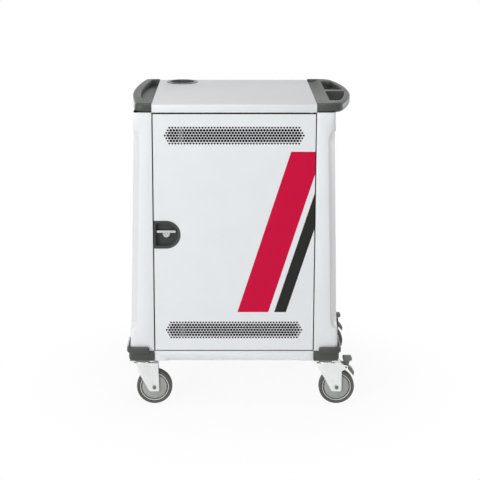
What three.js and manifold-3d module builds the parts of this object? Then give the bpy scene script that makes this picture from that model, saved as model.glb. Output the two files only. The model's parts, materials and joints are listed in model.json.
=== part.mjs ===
// A laptop charging cart: a two-tier steel cabinet behind a perforated door, with a moulded push
// handle at one end, a pen tray at the other, corner bumpers and four swivel casters.
// Millimetres, +Z up, the door faces -Y. The finished group stands centred over the origin.
import * as THREE from "three";
import { mergeVertices } from "three/addons/utils/BufferGeometryUtils.js";
import Module from "manifold-3d";

// Seats and sheets
const SEAT = 0.3; // gap kept between pieces that touch
const TURN_GAP = 0.6; // gap round a shaft that turns
const OVER = 1; // how far a cutter runs past the face it opens
const SHEET = 2; // folded steel sheet
const ARC_STEPS = 3; // facets of a rounded corner
const PIN_SIDES = 8; // facets of pins, bores and shafts

// Cabinet
const OPENING_W = 546; // clear width between the door pillars
const BODY_D = 600; // front face to rear face
const CABINET_H = 824.5; // top of the base to the underside of the deck
const FLARE_TOP = 62; // side cover past the opening, under the deck
const FLARE_FOOT = 82; // side cover past the opening, on the base
const COVER_WALL = 3; // moulded side cover
const COVER_CORNER = 12; // rounding of its upright corners
const JAMB_D = 24; // how far a pillar turns in beside a door
const SCALLOP_W = 25; // front width of the scallop cut into each upright corner
const SCALLOP_D = 60; // the same cut along the side
const SCALLOP_FOOT = 79; // its lower end above the base
const SCALLOP_HEAD = 62; // its upper end below the deck
const SCALLOP_END = 40; // height of its curved ends
const WALL_T = 2.5; // inner wall
const FLANGE_W = 17; // inner wall turned in behind a door
const FLANGE_SETBACK = 28; // that flange behind the door's face

// Base
const BASE_H = 36; // base pan
const PAN_INSET = 5; // pan sides inside the foot of the covers
const PAN_SETBACK = 10; // pan ends behind the door faces, where the bumpers wrap
const PAN_CORNER = 20;
const PAN_WALL = 3;
const RAIL_WALL = 8; // front and rear rails
const RAIL_SETBACK = 1; // rail face behind the door face
const RELIEF_END = 47; // sloped relief along the foot of each rail, short of the rail's end
const RELIEF_H = 13;
const RELIEF_D = 6;
const CHANNEL_W = 76; // channels that carry the casters
const CHANNEL_END = 16; // channel end short of the rail
const CHANNEL_T = 3;

// Bumpers
const BUMPER_REACH = 110; // along the cart's side
const BUMPER_LIFT = 1; // underside above the base pan's foot
const BODY_PROUD = 6; // lower body past the pan's cover line
const LIP_PROUD = 12; // upper lip past the side cover
const LIP_START = 17; // lip starts this far outside the door opening
const LIP_Z = 27; // underside of the lip above the base pan's foot
const LIP_H = 25;
const LIP_ROUND = 5;
const BUMPER_CORNER = 24;

// Deck, cup and handles
const DECK_H = 27;
const DECK_GAP = 0.5; // deck side inside the door opening line
const DECK_SKIN = 4;
const DECK_RIM = 26; // solid rim round the hollow underside
const DECK_ROUND = 5; // front and rear edges
const CUP_FROM_SIDE = 84.5; // cup centre from the deck's side
const CUP_FROM_REAR = 61; // cup centre in front of the rear edge
const CUP_R = 47;
const CUP_TAPER = 14;
const CUP_WALL = 2.5;
const CUP_DEPTH = 78;
const CUP_RIM = 10;
const CUP_RIM_T = 2;
const CUP_SIDES = 20;
const HANDLE_RISE = 3.5; // handle tops above the deck
const HANDLE_ROUND = 6; // rounded edges
const TRAY_REACH = 52; // pen tray past the door opening, at its corners
const TRAY_BOW = 27; // and how far its middle bows out
const TRAY_CORNER = 20; // its rounded corners in plan
const PUSH_REACH = 78; // push handle, the same
const PUSH_BOW = 51.5;
const PUSH_CORNER = 34;
const TRAY_RIM = 30;
const TRAY_FLOOR = 6; // thickness under the pen tray
const WELL_CORNER = 16;
const GRIP_RIM = 20; // bar outside the grip openings
const GRIP_INNER = 46; // inner edge of the openings past the door opening
const GRIP_RIB = 36; // rib between the two openings
const GRIP_END = 71; // handle end to the opening
const GRIP_CORNER = 12;
const VALLEY_R = 40; // shallow tray beside the deck on the push handle
const VALLEY_DEPTH = 10;
const VALLEY_END = 14;
const BOW_STEPS = 10;

// Doors
const DOOR_GAP = 4; // round the sides and head
const DOOR_FOOT_GAP = 2;
const DOOR_T = 18;
const DOOR_LIP = 12; // edge turned in at the back of the door
const PIVOT_IN = 14; // pivot axis from the door's edge
const PIVOT_BACK = 8; // pivot axis behind the door's face
const PIVOT_R = 3.5;
const PIVOT_COLLAR_R = 7;
const PIVOT_SINK = 14; // pin inside the base rail or the deck
const PIVOT_GRIP = 18; // pin inside the door
const VENT_FROM_SIDE = 39.5; // last hole of the middle row from the door's edge
const VENT_FROM_END = 73; // vent band's centre from the door's end
const VENT_COLUMNS = 21; // holes in the middle row
const VENT_ROWS = 5;
const VENT_ROW_PITCH = 13.2;
const VENT_R = 8;
const VENT_SIDES = 4;
const STIFFENER_W = 16; // upright channel beside the lock
const STIFFENER_T = 1.5;
const LOUVRE_FROM_SIDE = 119; // slots in the rear door
const LOUVRE_H = 7;
const LOUVRE_PITCH = 22;
const LOUVRE_COUNT = 5;

// Lock
const LOCK_FROM_EDGE = 41; // turning axis from the door's edge
const LOCK_FROM_FOOT = 408; // turning axis above the door's foot
const LOCK_CUP_R = 48;
const LOCK_CUP_RIM = 9; // rim round the curved end
const LOCK_CUP_EDGE = 5; // rim along the door's edge
const LOCK_CUP_WALL = 3;
const LOCK_CUP_D = 18; // finger room behind the door's face
const LOCK_FLANGE_T = 1.2;
const LOCK_FLOOR = 2.5;
const COLLAR_R = 13;
const COLLAR_T = 5;
const SLEEVE_R = 9;
const SHAFT_R = 5;
const LEVER_R = 11; // lever's round hub
const LEVER_T = 7;
const WING_L = 64; // wing of the lever
const WING_H = 8;
const WING_T = 11;
const WING_LIFT = 6; // wing's underside above the axis
const BARREL_R = 5;
const BARREL_D = 4.5;
const KEY_SLOT_W = 1.6;
const CAM_L = 40;
const CAM_W = 16;
const CAM_T = 3;
const CAM_GAP = 3.2; // cam behind the wall's flange

// Inside
const PARTITION_FROM_REAR = 134; // power bay's depth
const SHELF_Z = 412; // laptop shelf above the base
const SHELF_LIP = 20;
const SHELF_SETBACK = 42; // shelf front behind the door's face
const BAYS = 10; // laptops on each tier
const DIVIDER_T = 2.5;
const DIVIDER_H = 190;
const DIVIDER_SLOPE = 60;
const RACK_T = 2;
const RACK_MARGIN = 5;
const CABLE_SLOT_END = 40; // slot end from the inner wall
const CABLE_SLOT_H = 40;
const CABLE_SLOT_Z = 170; // above each tier
const STRIP_END = 35; // socket strip end from the inner wall
const STRIP_D = 40;
const STRIP_H = 46;
const STRIP_Z = 120; // above each tier
const SOCKET_W = 32;
const SOCKET_D = 6;
const UNIT_W = 150; // power unit on the floor of the power bay
const UNIT_D = 90;
const UNIT_H = 62;
const UNIT_FROM_WALL = 105; // its middle from the inner wall

// On the push side
const CLEAT_W = 24; // lead cleat
const CLEAT_H = 60;
const CLEAT_PLATE = 4;
const CLEAT_PROUD = 14;
const CLEAT_HOOK = 5;
const CLEAT_STEM = 12;
const CLEAT_FROM_FRONT = 165;
const CLEAT_Z = 36; // middle above the base
const INLET_W = 52; // mains inlet
const INLET_H = 34;
const INLET_T = 8;
const INLET_FROM_REAR = 120;
const INLET_Z = 100;
const INLET_SOCKET_W = 30;
const INLET_SOCKET_H = 20;

// Casters
const CASTER_H = 170.2; // floor to the top of the plate
const CASTER_INSET = 39; // swivel axis inside the foot of a side cover
const CASTER_SETBACK = 54; // swivel axis behind a door face
const TRAIL = 40; // axle behind the swivel axis
const WHEEL_R = 62.5;
const WHEEL_SIDES = 18;
const TYRE_W = 32;
const TYRE_ROUND = 4;
const RIM_R = 51;
const RIM_W = 28;
const RIM_T = 4;
const GROOVE_R = 43;
const GROOVE_D = 4;
const HUB_W = 34;
const AXLE_R = 5;
const AXLE_HEAD_R = 6.5;
const AXLE_HEAD_T = 3.5;
const PLATE_W = 84;
const PLATE_D = 84;
const PLATE_T = 4.5;
const RACE_R = 29;
const RACE_H = 11.2;
const RACE_SIDES = 12;
const FORK_GAP = 38.6; // between the fork's cheeks
const FORK_T = 3;
const CROWN_T = 4;
const HEAD_R = 26;
const HEAD_H = 4;
const CHEEK_BACK = -30; // cheek at the crown, in front of and behind the swivel axis
const CHEEK_FRONT = 54;
const CHEEK_FOOT = 17; // half width of the cheek at the axle
const CHEEK_DROP = 14.5; // cheek below the axle
const CHEEK_ROUND = 6;
const BRAKE_X = 72; // pedal pivot from the swivel axis
const BRAKE_Z = 135;
const BRAKE_PIN_R = 3;
const BRAKE_BOSS_R = 7;
const BRAKE_W = 20;
const PAD_X0 = 61; // pedal pad
const PAD_X1 = 92;
const PAD_Z0 = 156;
const PAD_Z1 = 168.5;
const PAD_W = 28;
const PAD_ROUND = 4;

// Places that follow from the sizes above
const JAMB_X = OPENING_W / 2;
const FACE_Y = BODY_D / 2;
const BASE_Z = CASTER_H + SEAT;
const FLOOR_Z = BASE_Z + BASE_H;
const DECK_Z = FLOOR_Z + CABINET_H;
const DECK_TOP = DECK_Z + DECK_H;
const HANDLE_TOP = DECK_TOP + HANDLE_RISE;
const FOOT_X = JAMB_X + FLARE_FOOT;
const TOP_X = JAMB_X + FLARE_TOP;
const PAN_X = FOOT_X - PAN_INSET;
const PAN_Y = FACE_Y - PAN_SETBACK;
const RAIL_X = JAMB_X - 1;
const RAIL_Y = FACE_Y - RAIL_SETBACK;
const DECK_X = JAMB_X - DECK_GAP;
const WALL_X = JAMB_X - SEAT;
const INNER_X = WALL_X - WALL_T;
const FLANGE_Y = FACE_Y - FLANGE_SETBACK;
const DOOR_X = JAMB_X - DOOR_GAP;
const DOOR_Z0 = FLOOR_Z + DOOR_FOOT_GAP;
const DOOR_Z1 = DECK_Z - DOOR_GAP;
const PIVOT_X = DOOR_X - PIVOT_IN;
const RELIEF_X = RAIL_X - RELIEF_END;
const CHANNEL_Y = PAN_Y - RAIL_WALL - CHANNEL_END;
const CUP_X = CUP_FROM_SIDE - DECK_X;
const TRAY_END_X = JAMB_X + TRAY_REACH;
const TRAY_MID_X = TRAY_END_X + TRAY_BOW;
const PUSH_END_X = JAMB_X + PUSH_REACH;
const PUSH_MID_X = PUSH_END_X + PUSH_BOW;
const GRIP_X = JAMB_X + GRIP_INNER;
const VENT_X = DOOR_X - VENT_FROM_SIDE;
const LOUVRE_X = DOOR_X - LOUVRE_FROM_SIDE;
const LOCK_X = LOCK_FROM_EDGE - DOOR_X;
const CABLE_SLOT_X = INNER_X - CABLE_SLOT_END;
const STRIP_X = INNER_X - STRIP_END;
const UNIT_X = INNER_X - UNIT_FROM_WALL;
const CASTER_X = FOOT_X - CASTER_INSET;
const PIVOT_Y = PIVOT_BACK - FACE_Y;
const LOCK_Z = DOOR_Z0 + LOCK_FROM_FOOT;
const LOCK_FLOOR_Y = LOCK_CUP_D - FACE_Y;
const CAM_Y = WALL_T + CAM_GAP - FLANGE_Y;
const PARTITION_Y = FACE_Y - PARTITION_FROM_REAR;
const SHELF_TOP = FLOOR_Z + SHELF_Z;
const CUP_Y = FACE_Y - CUP_FROM_REAR;
const AXLE_Z = WHEEL_R * Math.cos(Math.PI / WHEEL_SIDES);
const FORK_TOP = CASTER_H - PLATE_T - RACE_H - SEAT;
const CROWN_TOP = FORK_TOP - HEAD_H;
const FORK_OUT = FORK_GAP / 2 + FORK_T;

// Finishes
const finish = (color, roughness, metalness) =>
  new THREE.MeshStandardMaterial({ color, roughness, metalness, flatShading: true });
const POWDER_COAT = finish(0xe4e8ea, 0.5, 0);
const DARK_MOULDING = finish(0x4b504c, 0.45, 0);
const ZINC = finish(0xd2d6d4, 0.35, 0.9);
const CHROME = finish(0xdcdfe0, 0.15, 1);
const RUBBER = finish(0x555350, 0.7, 0);
const GREY_PLASTIC = finish(0xa0a29d, 0.5, 0);
const BLACK_PLASTIC = finish(0x222426, 0.5, 0);
const WHITE_MOULDING = finish(0xe6e9ea, 0.45, 0);
const INNER_COAT = finish(0x2b2d2e, 0.6, 0);

// Closed surfaces become solids to be joined and cut, and come back as surfaces.
const wasm = await Module();
wasm.setup();

function solid(geometry) {
  const bare = new THREE.BufferGeometry();
  bare.setAttribute("position", geometry.getAttribute("position"));
  bare.setIndex(geometry.index);
  const merged = mergeVertices(bare, 1e-4);
  const corners = merged.index.array;
  const triangles = [];
  for (let i = 0; i < corners.length; i += 3) {
    const [a, b, c] = corners.slice(i, i + 3);
    const collapsed = a === b || b === c || c === a;
    if (!collapsed) triangles.push(a, b, c);
  }
  const vertProperties = merged.getAttribute("position").array;
  const triVerts = new Uint32Array(triangles);
  return new wasm.Manifold(new wasm.Mesh({ numProp: 3, vertProperties, triVerts }));
}

function surface(made) {
  const mesh = made.getMesh();
  const geometry = new THREE.BufferGeometry();
  geometry.setAttribute("position", new THREE.BufferAttribute(mesh.vertProperties, 3));
  geometry.setIndex(new THREE.BufferAttribute(mesh.triVerts, 1));
  return geometry;
}

function join(first, ...others) {
  return surface(others.reduce((sum, other) => sum.add(solid(other)), solid(first)));
}

function cut(first, ...cutters) {
  return surface(cutters.reduce((rest, cutter) => rest.subtract(solid(cutter)), solid(first)));
}

function common(first, second) {
  return surface(solid(first).intersect(solid(second)));
}

// Boxes, prisms and turned pieces
const ALONG_X = new THREE.Matrix4().set(0, 0, 1, 0, 1, 0, 0, 0, 0, 1, 0, 0, 0, 0, 0, 1);
const ALONG_Y = new THREE.Matrix4().set(1, 0, 0, 0, 0, 0, -1, 0, 0, 1, 0, 0, 0, 0, 0, 1);

function box([x0, x1], [y0, y1], [z0, z1]) {
  const block = new THREE.BoxGeometry(x1 - x0, y1 - y0, z1 - z0);
  return block.translate((x0 + x1) / 2, (y0 + y1) / 2, (z0 + z1) / 2);
}

function prism(shape, depth, bevel = 0) {
  return new THREE.ExtrudeGeometry(shape, {
    depth: depth - 2 * bevel,
    curveSegments: ARC_STEPS,
    bevelEnabled: bevel > 0,
    bevelThickness: bevel,
    bevelSize: bevel,
    bevelOffset: -bevel,
    bevelSegments: 1,
  }).translate(0, 0, bevel);
}

// A shape drawn in plan, standing from z0 to z1.
const prismZ = (shape, z0, z1, bevel) => prism(shape, z1 - z0, bevel).translate(0, 0, z0);

// A shape drawn in x and z, running from y0 to y1.
const prismY = (shape, y0, y1, bevel) =>
  prism(shape, y1 - y0, bevel).applyMatrix4(ALONG_Y).translate(0, y1, 0);

// A shape drawn in y and z, running from x0 to x1.
const prismX = (shape, x0, x1, bevel) =>
  prism(shape, x1 - x0, bevel).applyMatrix4(ALONG_X).translate(x0, 0, 0);

function polygon(...points) {
  return new THREE.Shape(points.map(([x, y]) => new THREE.Vector2(x, y)));
}

function regular(x, y, radius, sides) {
  const angle = (i) => ((2 * i + 1) * Math.PI) / sides;
  const corner = (_, i) => [x + radius * Math.cos(angle(i)), y + radius * Math.sin(angle(i))];
  return polygon(...Array.from({ length: sides }, corner));
}

function roundedRect([x0, x1], [y0, y1], radius) {
  const shape = new THREE.Shape();
  shape.moveTo(x0 + radius, y0);
  shape.lineTo(x1 - radius, y0);
  shape.absarc(x1 - radius, y0 + radius, radius, -Math.PI / 2, 0);
  shape.lineTo(x1, y1 - radius);
  shape.absarc(x1 - radius, y1 - radius, radius, 0, Math.PI / 2);
  shape.lineTo(x0 + radius, y1);
  shape.absarc(x0 + radius, y1 - radius, radius, Math.PI / 2, Math.PI);
  shape.lineTo(x0, y0 + radius);
  shape.absarc(x0 + radius, y0 + radius, radius, Math.PI, 1.5 * Math.PI);
  return shape;
}

// A profile of [radius, height] points turned about the Y axis, with a flat facet straight down.
function turnedY(profile, sides) {
  const points = profile.map(([radius, along]) => new THREE.Vector2(radius, along));
  return surface(solid(new THREE.LatheGeometry(points, sides, Math.PI / sides)));
}

const turnedZ = (profile, sides) => turnedY(profile, sides).rotateX(Math.PI / 2);

// A round bar or bore upright at x, y.
const barZ = (x, y, radius, z0, z1) => prismZ(regular(x, y, radius, PIN_SIDES), z0, z1);

// A round bar or bore along Y at x, z.
const barY = (x, z, radius, y0, y1) => prismY(regular(x, z, radius, PIN_SIDES), y0, y1);

// Rings of points, one above the other, joined by walls and closed at both ends.
function loft(rings) {
  const count = rings[0].length;
  const index = [];
  for (let level = 0; level + 1 < rings.length; level += 1) {
    for (let i = 0; i < count; i += 1) {
      const a = level * count + i;
      const b = level * count + ((i + 1) % count);
      index.push(a, b, b + count, a, b + count, a + count);
    }
  }
  const flat = (ring) => ring.map(([x, y]) => new THREE.Vector2(x, y));
  const last = (rings.length - 1) * count;
  for (const [a, b, c] of THREE.ShapeUtils.triangulateShape(flat(rings[0]), [])) {
    index.push(a, c, b);
  }
  for (const [a, b, c] of THREE.ShapeUtils.triangulateShape(flat(rings.at(-1)), [])) {
    index.push(last + a, last + b, last + c);
  }
  const geometry = new THREE.BufferGeometry();
  geometry.setAttribute("position", new THREE.Float32BufferAttribute(rings.flat(2), 3));
  return geometry.setIndex(index);
}

const mix = THREE.MathUtils.lerp;

// Base pan: an inverted steel pan with front and rear rails, each relieved along its foot.
function basePan() {
  const outline = roundedRect([-PAN_X, PAN_X], [-PAN_Y, PAN_Y], PAN_CORNER);
  const rails = box([-RAIL_X, RAIL_X], [-RAIL_Y, RAIL_Y], [BASE_Z, FLOOR_Z]);
  const inside = roundedRect(
    [PAN_WALL - PAN_X, PAN_X - PAN_WALL],
    [RAIL_WALL - PAN_Y, PAN_Y - RAIL_WALL],
    PAN_CORNER - PAN_WALL,
  );
  const hollow = prismZ(inside, BASE_Z - OVER, FLOOR_Z - SHEET);
  const relief = (side) => {
    const low = BASE_Z - OVER;
    const deep = RELIEF_D * (1 + OVER / RELIEF_H);
    const high = RELIEF_H * (1 + OVER / RELIEF_D);
    const out = side * (RAIL_Y + OVER);
    const wedge = polygon([out, low], [side * (RAIL_Y - deep), low], [out, BASE_Z + high]);
    return prismX(wedge, -RELIEF_X, RELIEF_X);
  };
  const sockets = [1, -1].map((side) =>
    barZ(side * PIVOT_X, side * PIVOT_Y, PIVOT_R + SEAT, FLOOR_Z - PIVOT_SINK, FLOOR_Z + OVER),
  );
  return cut(join(prismZ(outline, BASE_Z, FLOOR_Z), rails), hollow, relief(-1), relief(1), ...sockets);
}

// Base channel: a folded channel under the pan's floor that the caster plates bolt to.
function baseChannel() {
  const out = PAN_X - PAN_WALL - SEAT;
  const top = FLOOR_Z - SHEET - SEAT;
  const section = polygon(
    [out - CHANNEL_W, BASE_Z],
    [out, BASE_Z],
    [out, top],
    [out - CHANNEL_W, top],
    [out - CHANNEL_W, top - CHANNEL_T],
    [out - CHANNEL_T, top - CHANNEL_T],
    [out - CHANNEL_T, BASE_Z + CHANNEL_T],
    [out - CHANNEL_W, BASE_Z + CHANNEL_T],
  );
  return prismY(section, -CHANNEL_Y, CHANNEL_Y);
}

// Half width outside a side cover at a height above the floor.
const coverX = (z) => mix(FOOT_X, TOP_X, (z - FLOOR_Z) / CABINET_H);

// Side cover: a moulded shell, flared towards its foot, with a scallop down each upright corner.
function sideCover() {
  const low = FLOOR_Z + SCALLOP_FOOT;
  const high = DECK_Z - SCALLOP_HEAD;
  const ease = [0, 0.05, 0.2, 0.5, 1];
  const levels = [
    FLOOR_Z + SEAT,
    ...ease.map((t) => low + t * SCALLOP_END),
    ...ease.map((t) => high - t * SCALLOP_END).reverse(),
    DECK_Z - SEAT,
  ];
  const scallop = (z) => {
    const t = Math.min(z - low, high - z) / SCALLOP_END;
    return Math.sqrt(1 - (1 - THREE.MathUtils.clamp(t, 0, 1)) ** 2);
  };
  const corner = (x, y, depth) => {
    const start = new THREE.Vector2(x - mix(COVER_CORNER, SCALLOP_W, depth), y);
    const end = new THREE.Vector2(x, y + mix(COVER_CORNER, SCALLOP_D, depth));
    const middle = start.clone().add(end).multiplyScalar(0.5);
    const pull = middle.lerp(new THREE.Vector2(x, y), 1 - depth);
    return new THREE.QuadraticBezierCurve(start, pull, end).getPoints(3).map((p) => [p.x, p.y]);
  };
  const half = (z, inset) => [
    [JAMB_X + inset, JAMB_D - FACE_Y],
    [JAMB_X + inset, inset - FACE_Y],
    ...corner(coverX(z) - inset, inset - FACE_Y, scallop(z)),
  ];
  const path = (z, inset) => {
    const front = half(z, inset);
    return [...front, ...front.map(([x, y]) => [x, -y]).reverse()];
  };
  const ring = (z) => [...path(z, 0), ...path(z, COVER_WALL).reverse()].map(([x, y]) => [x, y, z]);
  return surface(solid(loft(levels.map(ring))));
}

// Inner wall: a steel channel whose flanges stand behind the two doors.
function innerWall() {
  const turned = INNER_X - FLANGE_W;
  const section = polygon(
    [WALL_X, -FLANGE_Y],
    [WALL_X, FLANGE_Y],
    [turned, FLANGE_Y],
    [turned, FLANGE_Y - WALL_T],
    [INNER_X, FLANGE_Y - WALL_T],
    [INNER_X, WALL_T - FLANGE_Y],
    [turned, WALL_T - FLANGE_Y],
    [turned, -FLANGE_Y],
  );
  return prismZ(section, FLOOR_Z + SEAT, DECK_Z - SEAT);
}

// Corner bumper: a lower body round the pan's corner under a crowned lip round the cover's foot.
function bumper() {
  const bodyStart = RAIL_X + SEAT;
  const sideEnd = FACE_Y - BUMPER_REACH;
  const panX = PAN_X + SEAT;
  const panY = PAN_Y + SEAT;
  const panArc = PAN_CORNER + SEAT;
  const bodyX = PAN_X + PAN_INSET + BODY_PROUD;
  const bodyY = FACE_Y + BODY_PROUD / 2;
  const body = new THREE.Shape();
  body.moveTo(bodyStart, panY);
  body.lineTo(panX - panArc, panY);
  body.absarc(panX - panArc, panY - panArc, panArc, Math.PI / 2, 0, true);
  body.lineTo(panX, sideEnd);
  body.lineTo(bodyX, sideEnd);
  body.lineTo(bodyX, bodyY - BUMPER_CORNER);
  body.absarc(bodyX - BUMPER_CORNER, bodyY - BUMPER_CORNER, BUMPER_CORNER, 0, Math.PI / 2);
  body.lineTo(bodyStart, bodyY);
  const coverSide = FOOT_X + SEAT;
  const coverFace = FACE_Y + SEAT;
  const lipX = FOOT_X + LIP_PROUD;
  const lipY = FACE_Y + LIP_PROUD;
  const lip = new THREE.Shape();
  lip.moveTo(JAMB_X + LIP_START, coverFace);
  lip.lineTo(coverSide - COVER_CORNER, coverFace);
  lip.quadraticCurveTo(coverSide, coverFace, coverSide, coverFace - COVER_CORNER);
  lip.lineTo(coverSide, sideEnd);
  lip.lineTo(lipX, sideEnd);
  lip.lineTo(lipX, lipY - BUMPER_CORNER);
  lip.absarc(lipX - BUMPER_CORNER, lipY - BUMPER_CORNER, BUMPER_CORNER, 0, Math.PI / 2);
  lip.lineTo(JAMB_X + LIP_START, lipY);
  const lipZ = BASE_Z + LIP_Z;
  return join(
    prismZ(body, BASE_Z + BUMPER_LIFT, FLOOR_Z, LIP_ROUND / 2),
    prismZ(lip, lipZ, lipZ + LIP_H, LIP_ROUND),
  );
}

// Deck: a folded steel top, rounded along its front and rear edges, hollow underneath.
function deckPanel() {
  const section = new THREE.Shape();
  const round = FACE_Y - DECK_ROUND;
  section.moveTo(-FACE_Y, DECK_Z);
  section.lineTo(FACE_Y, DECK_Z);
  section.lineTo(FACE_Y, DECK_TOP - DECK_ROUND);
  section.absarc(round, DECK_TOP - DECK_ROUND, DECK_ROUND, 0, Math.PI / 2);
  section.lineTo(-round, DECK_TOP);
  section.absarc(-round, DECK_TOP - DECK_ROUND, DECK_ROUND, Math.PI / 2, Math.PI);
  const hollow = box(
    [DECK_RIM - DECK_X, DECK_X - DECK_RIM],
    [DECK_RIM - FACE_Y, FACE_Y - DECK_RIM],
    [DECK_Z - OVER, DECK_TOP - DECK_SKIN],
  );
  const cupHole = prismZ(
    regular(CUP_X, CUP_Y, (CUP_R + SEAT) / Math.cos(Math.PI / CUP_SIDES), CUP_SIDES),
    DECK_Z - OVER,
    DECK_TOP + OVER,
  );
  const sockets = [1, -1].map((side) =>
    barZ(side * PIVOT_X, side * PIVOT_Y, PIVOT_R + SEAT, DECK_Z - OVER, DECK_Z + PIVOT_SINK),
  );
  return cut(prismX(section, -DECK_X, DECK_X), hollow, cupHole, ...sockets);
}

// Deck cup: a moulded round well that hangs by its rim.
function deckCup() {
  const foot = DECK_TOP - CUP_DEPTH;
  const seat = DECK_TOP + SEAT;
  const rim = seat + CUP_RIM_T;
  const profile = [
    [0, foot],
    [CUP_R - CUP_TAPER, foot],
    [CUP_R, seat],
    [CUP_R + CUP_RIM, seat],
    [CUP_R + CUP_RIM, rim - 1],
    [CUP_R + CUP_RIM - 1, rim],
    [CUP_R - CUP_WALL, rim],
    [CUP_R - CUP_TAPER - CUP_WALL, foot + CUP_WALL],
    [0, foot + CUP_WALL],
  ];
  return turnedZ(profile, CUP_SIDES).translate(CUP_X, CUP_Y, 0);
}

// Bowed outline of a handle end, from a straight inner edge out to a circular arc in plan.
function bowedOutline(inner, endX, midX, halfLength, corner) {
  const rise = midX - endX;
  const radius = (FACE_Y ** 2 + rise ** 2) / (2 * rise);
  const bowX = (y) => midX - radius + Math.sqrt(radius ** 2 - y ** 2);
  const straight = halfLength - corner;
  const shape = new THREE.Shape();
  shape.moveTo(inner, -halfLength);
  shape.lineTo(bowX(halfLength) - corner, -halfLength);
  shape.quadraticCurveTo(bowX(halfLength), -halfLength, bowX(straight), -straight);
  for (let step = 1; step < BOW_STEPS; step += 1) {
    const y = mix(-straight, straight, step / BOW_STEPS);
    shape.lineTo(bowX(y), y);
  }
  shape.lineTo(bowX(straight), straight);
  shape.quadraticCurveTo(bowX(halfLength), halfLength, bowX(halfLength) - corner, halfLength);
  shape.lineTo(inner, halfLength);
  return shape;
}

// A handle end's body, drawn at +X: a bowed block with rounded edges, square against the deck.
function handleBlock(endX, midX, corner) {
  const behind = DECK_X - 2 * HANDLE_ROUND;
  const outline = bowedOutline(behind, endX, midX, FACE_Y, corner);
  const beside = box([DECK_X + SEAT, midX + OVER], [-BODY_D, BODY_D], [DECK_Z, HANDLE_TOP]);
  return common(prismZ(outline, DECK_Z, HANDLE_TOP, HANDLE_ROUND), beside);
}

// Pen tray end, drawn at +X: a deep tray between the deck's side and a bowed rim.
function trayEnd() {
  const length = FACE_Y - TRAY_RIM / 2 - TRAY_FLOOR;
  const well = bowedOutline(
    DECK_X - OVER,
    TRAY_END_X - TRAY_RIM,
    TRAY_MID_X - TRAY_RIM,
    length,
    WELL_CORNER,
  );
  return cut(
    handleBlock(TRAY_END_X, TRAY_MID_X, TRAY_CORNER),
    prismZ(well, DECK_Z + TRAY_FLOOR, HANDLE_TOP + OVER),
  );
}

// Push handle end: a shallow valley beside the deck, then a bar behind two grip openings.
function pushEnd() {
  const slot = bowedOutline(
    GRIP_X,
    PUSH_END_X - GRIP_RIM,
    PUSH_MID_X - GRIP_RIM,
    FACE_Y - GRIP_END,
    GRIP_CORNER,
  );
  const openings = cut(
    prismZ(slot, DECK_Z - OVER, HANDLE_TOP + OVER),
    box([0, PUSH_MID_X], [-GRIP_RIB / 2, GRIP_RIB / 2], [0, HANDLE_TOP + 2 * OVER]),
  );
  const half = FACE_Y - VALLEY_END;
  const valleyX = DECK_X + Math.sqrt(VALLEY_R ** 2 - (VALLEY_R - VALLEY_DEPTH) ** 2) / 2;
  const valley = prismY(
    regular(valleyX, HANDLE_TOP + VALLEY_R - VALLEY_DEPTH, VALLEY_R, 2 * PIN_SIDES),
    -half,
    half,
  );
  return cut(handleBlock(PUSH_END_X, PUSH_MID_X, PUSH_CORNER), openings, valley);
}

// Door: a folded pan, open at the back behind turned-in lips, bored at both ends for its pivots.
function doorPan() {
  const back = DOOR_T - FACE_Y;
  const pan = box([-DOOR_X, DOOR_X], [-FACE_Y, back], [DOOR_Z0, DOOR_Z1]);
  const hollow = box(
    [SHEET - DOOR_X, DOOR_X - SHEET],
    [SHEET - FACE_Y, back - SHEET],
    [DOOR_Z0 + SHEET, DOOR_Z1 - SHEET],
  );
  const mouth = box(
    [DOOR_LIP - DOOR_X, DOOR_X - DOOR_LIP],
    [back - SHEET - OVER, back + OVER],
    [DOOR_Z0 + DOOR_LIP, DOOR_Z1 - DOOR_LIP],
  );
  const bore = barZ(PIVOT_X, PIVOT_Y, PIVOT_R + SEAT, DOOR_Z0 - OVER, DOOR_Z1 + OVER);
  return cut(pan, hollow, mouth, bore);
}

// A vent band: staggered rows of holes that shorten by one hole from row to row.
function ventBand(z) {
  const pitch = (2 * VENT_X) / (VENT_COLUMNS - 1);
  const middle = (VENT_ROWS - 1) / 2;
  const holes = [];
  for (let row = 0; row < VENT_ROWS; row += 1) {
    const fromMiddle = Math.abs(row - middle);
    const count = VENT_COLUMNS - fromMiddle;
    for (let i = 0; i < count; i += 1) {
      const x = (i - (count - 1) / 2) * pitch;
      holes.push(regular(x, z + (row - middle) * VENT_ROW_PITCH, VENT_R, VENT_SIDES));
    }
  }
  return prismY(holes, -FACE_Y - OVER, SHEET + OVER - FACE_Y);
}

// Outline of the lock cup, flat along the door's edge and round at the other end.
function lockOutline(edgeInset, arcInset) {
  const left = -DOOR_X + edgeInset;
  const radius = LOCK_CUP_R - arcInset;
  const shape = new THREE.Shape();
  shape.moveTo(left, LOCK_Z - radius);
  shape.lineTo(LOCK_X, LOCK_Z - radius);
  for (let step = 1; step < PIN_SIDES; step += 1) {
    const angle = mix(-Math.PI / 2, Math.PI / 2, step / PIN_SIDES);
    shape.lineTo(LOCK_X + radius * Math.cos(angle), LOCK_Z + radius * Math.sin(angle));
  }
  shape.lineTo(LOCK_X, LOCK_Z + radius);
  shape.lineTo(left, LOCK_Z + radius);
  return shape;
}

function frontDoorPanel() {
  const hole = lockOutline(SHEET, LOCK_CUP_RIM - LOCK_CUP_WALL - SEAT);
  return cut(
    doorPan(),
    ventBand(DOOR_Z0 + VENT_FROM_END),
    ventBand(DOOR_Z1 - VENT_FROM_END),
    prismY(hole, -FACE_Y - OVER, DOOR_T + OVER - FACE_Y),
  );
}

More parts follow.
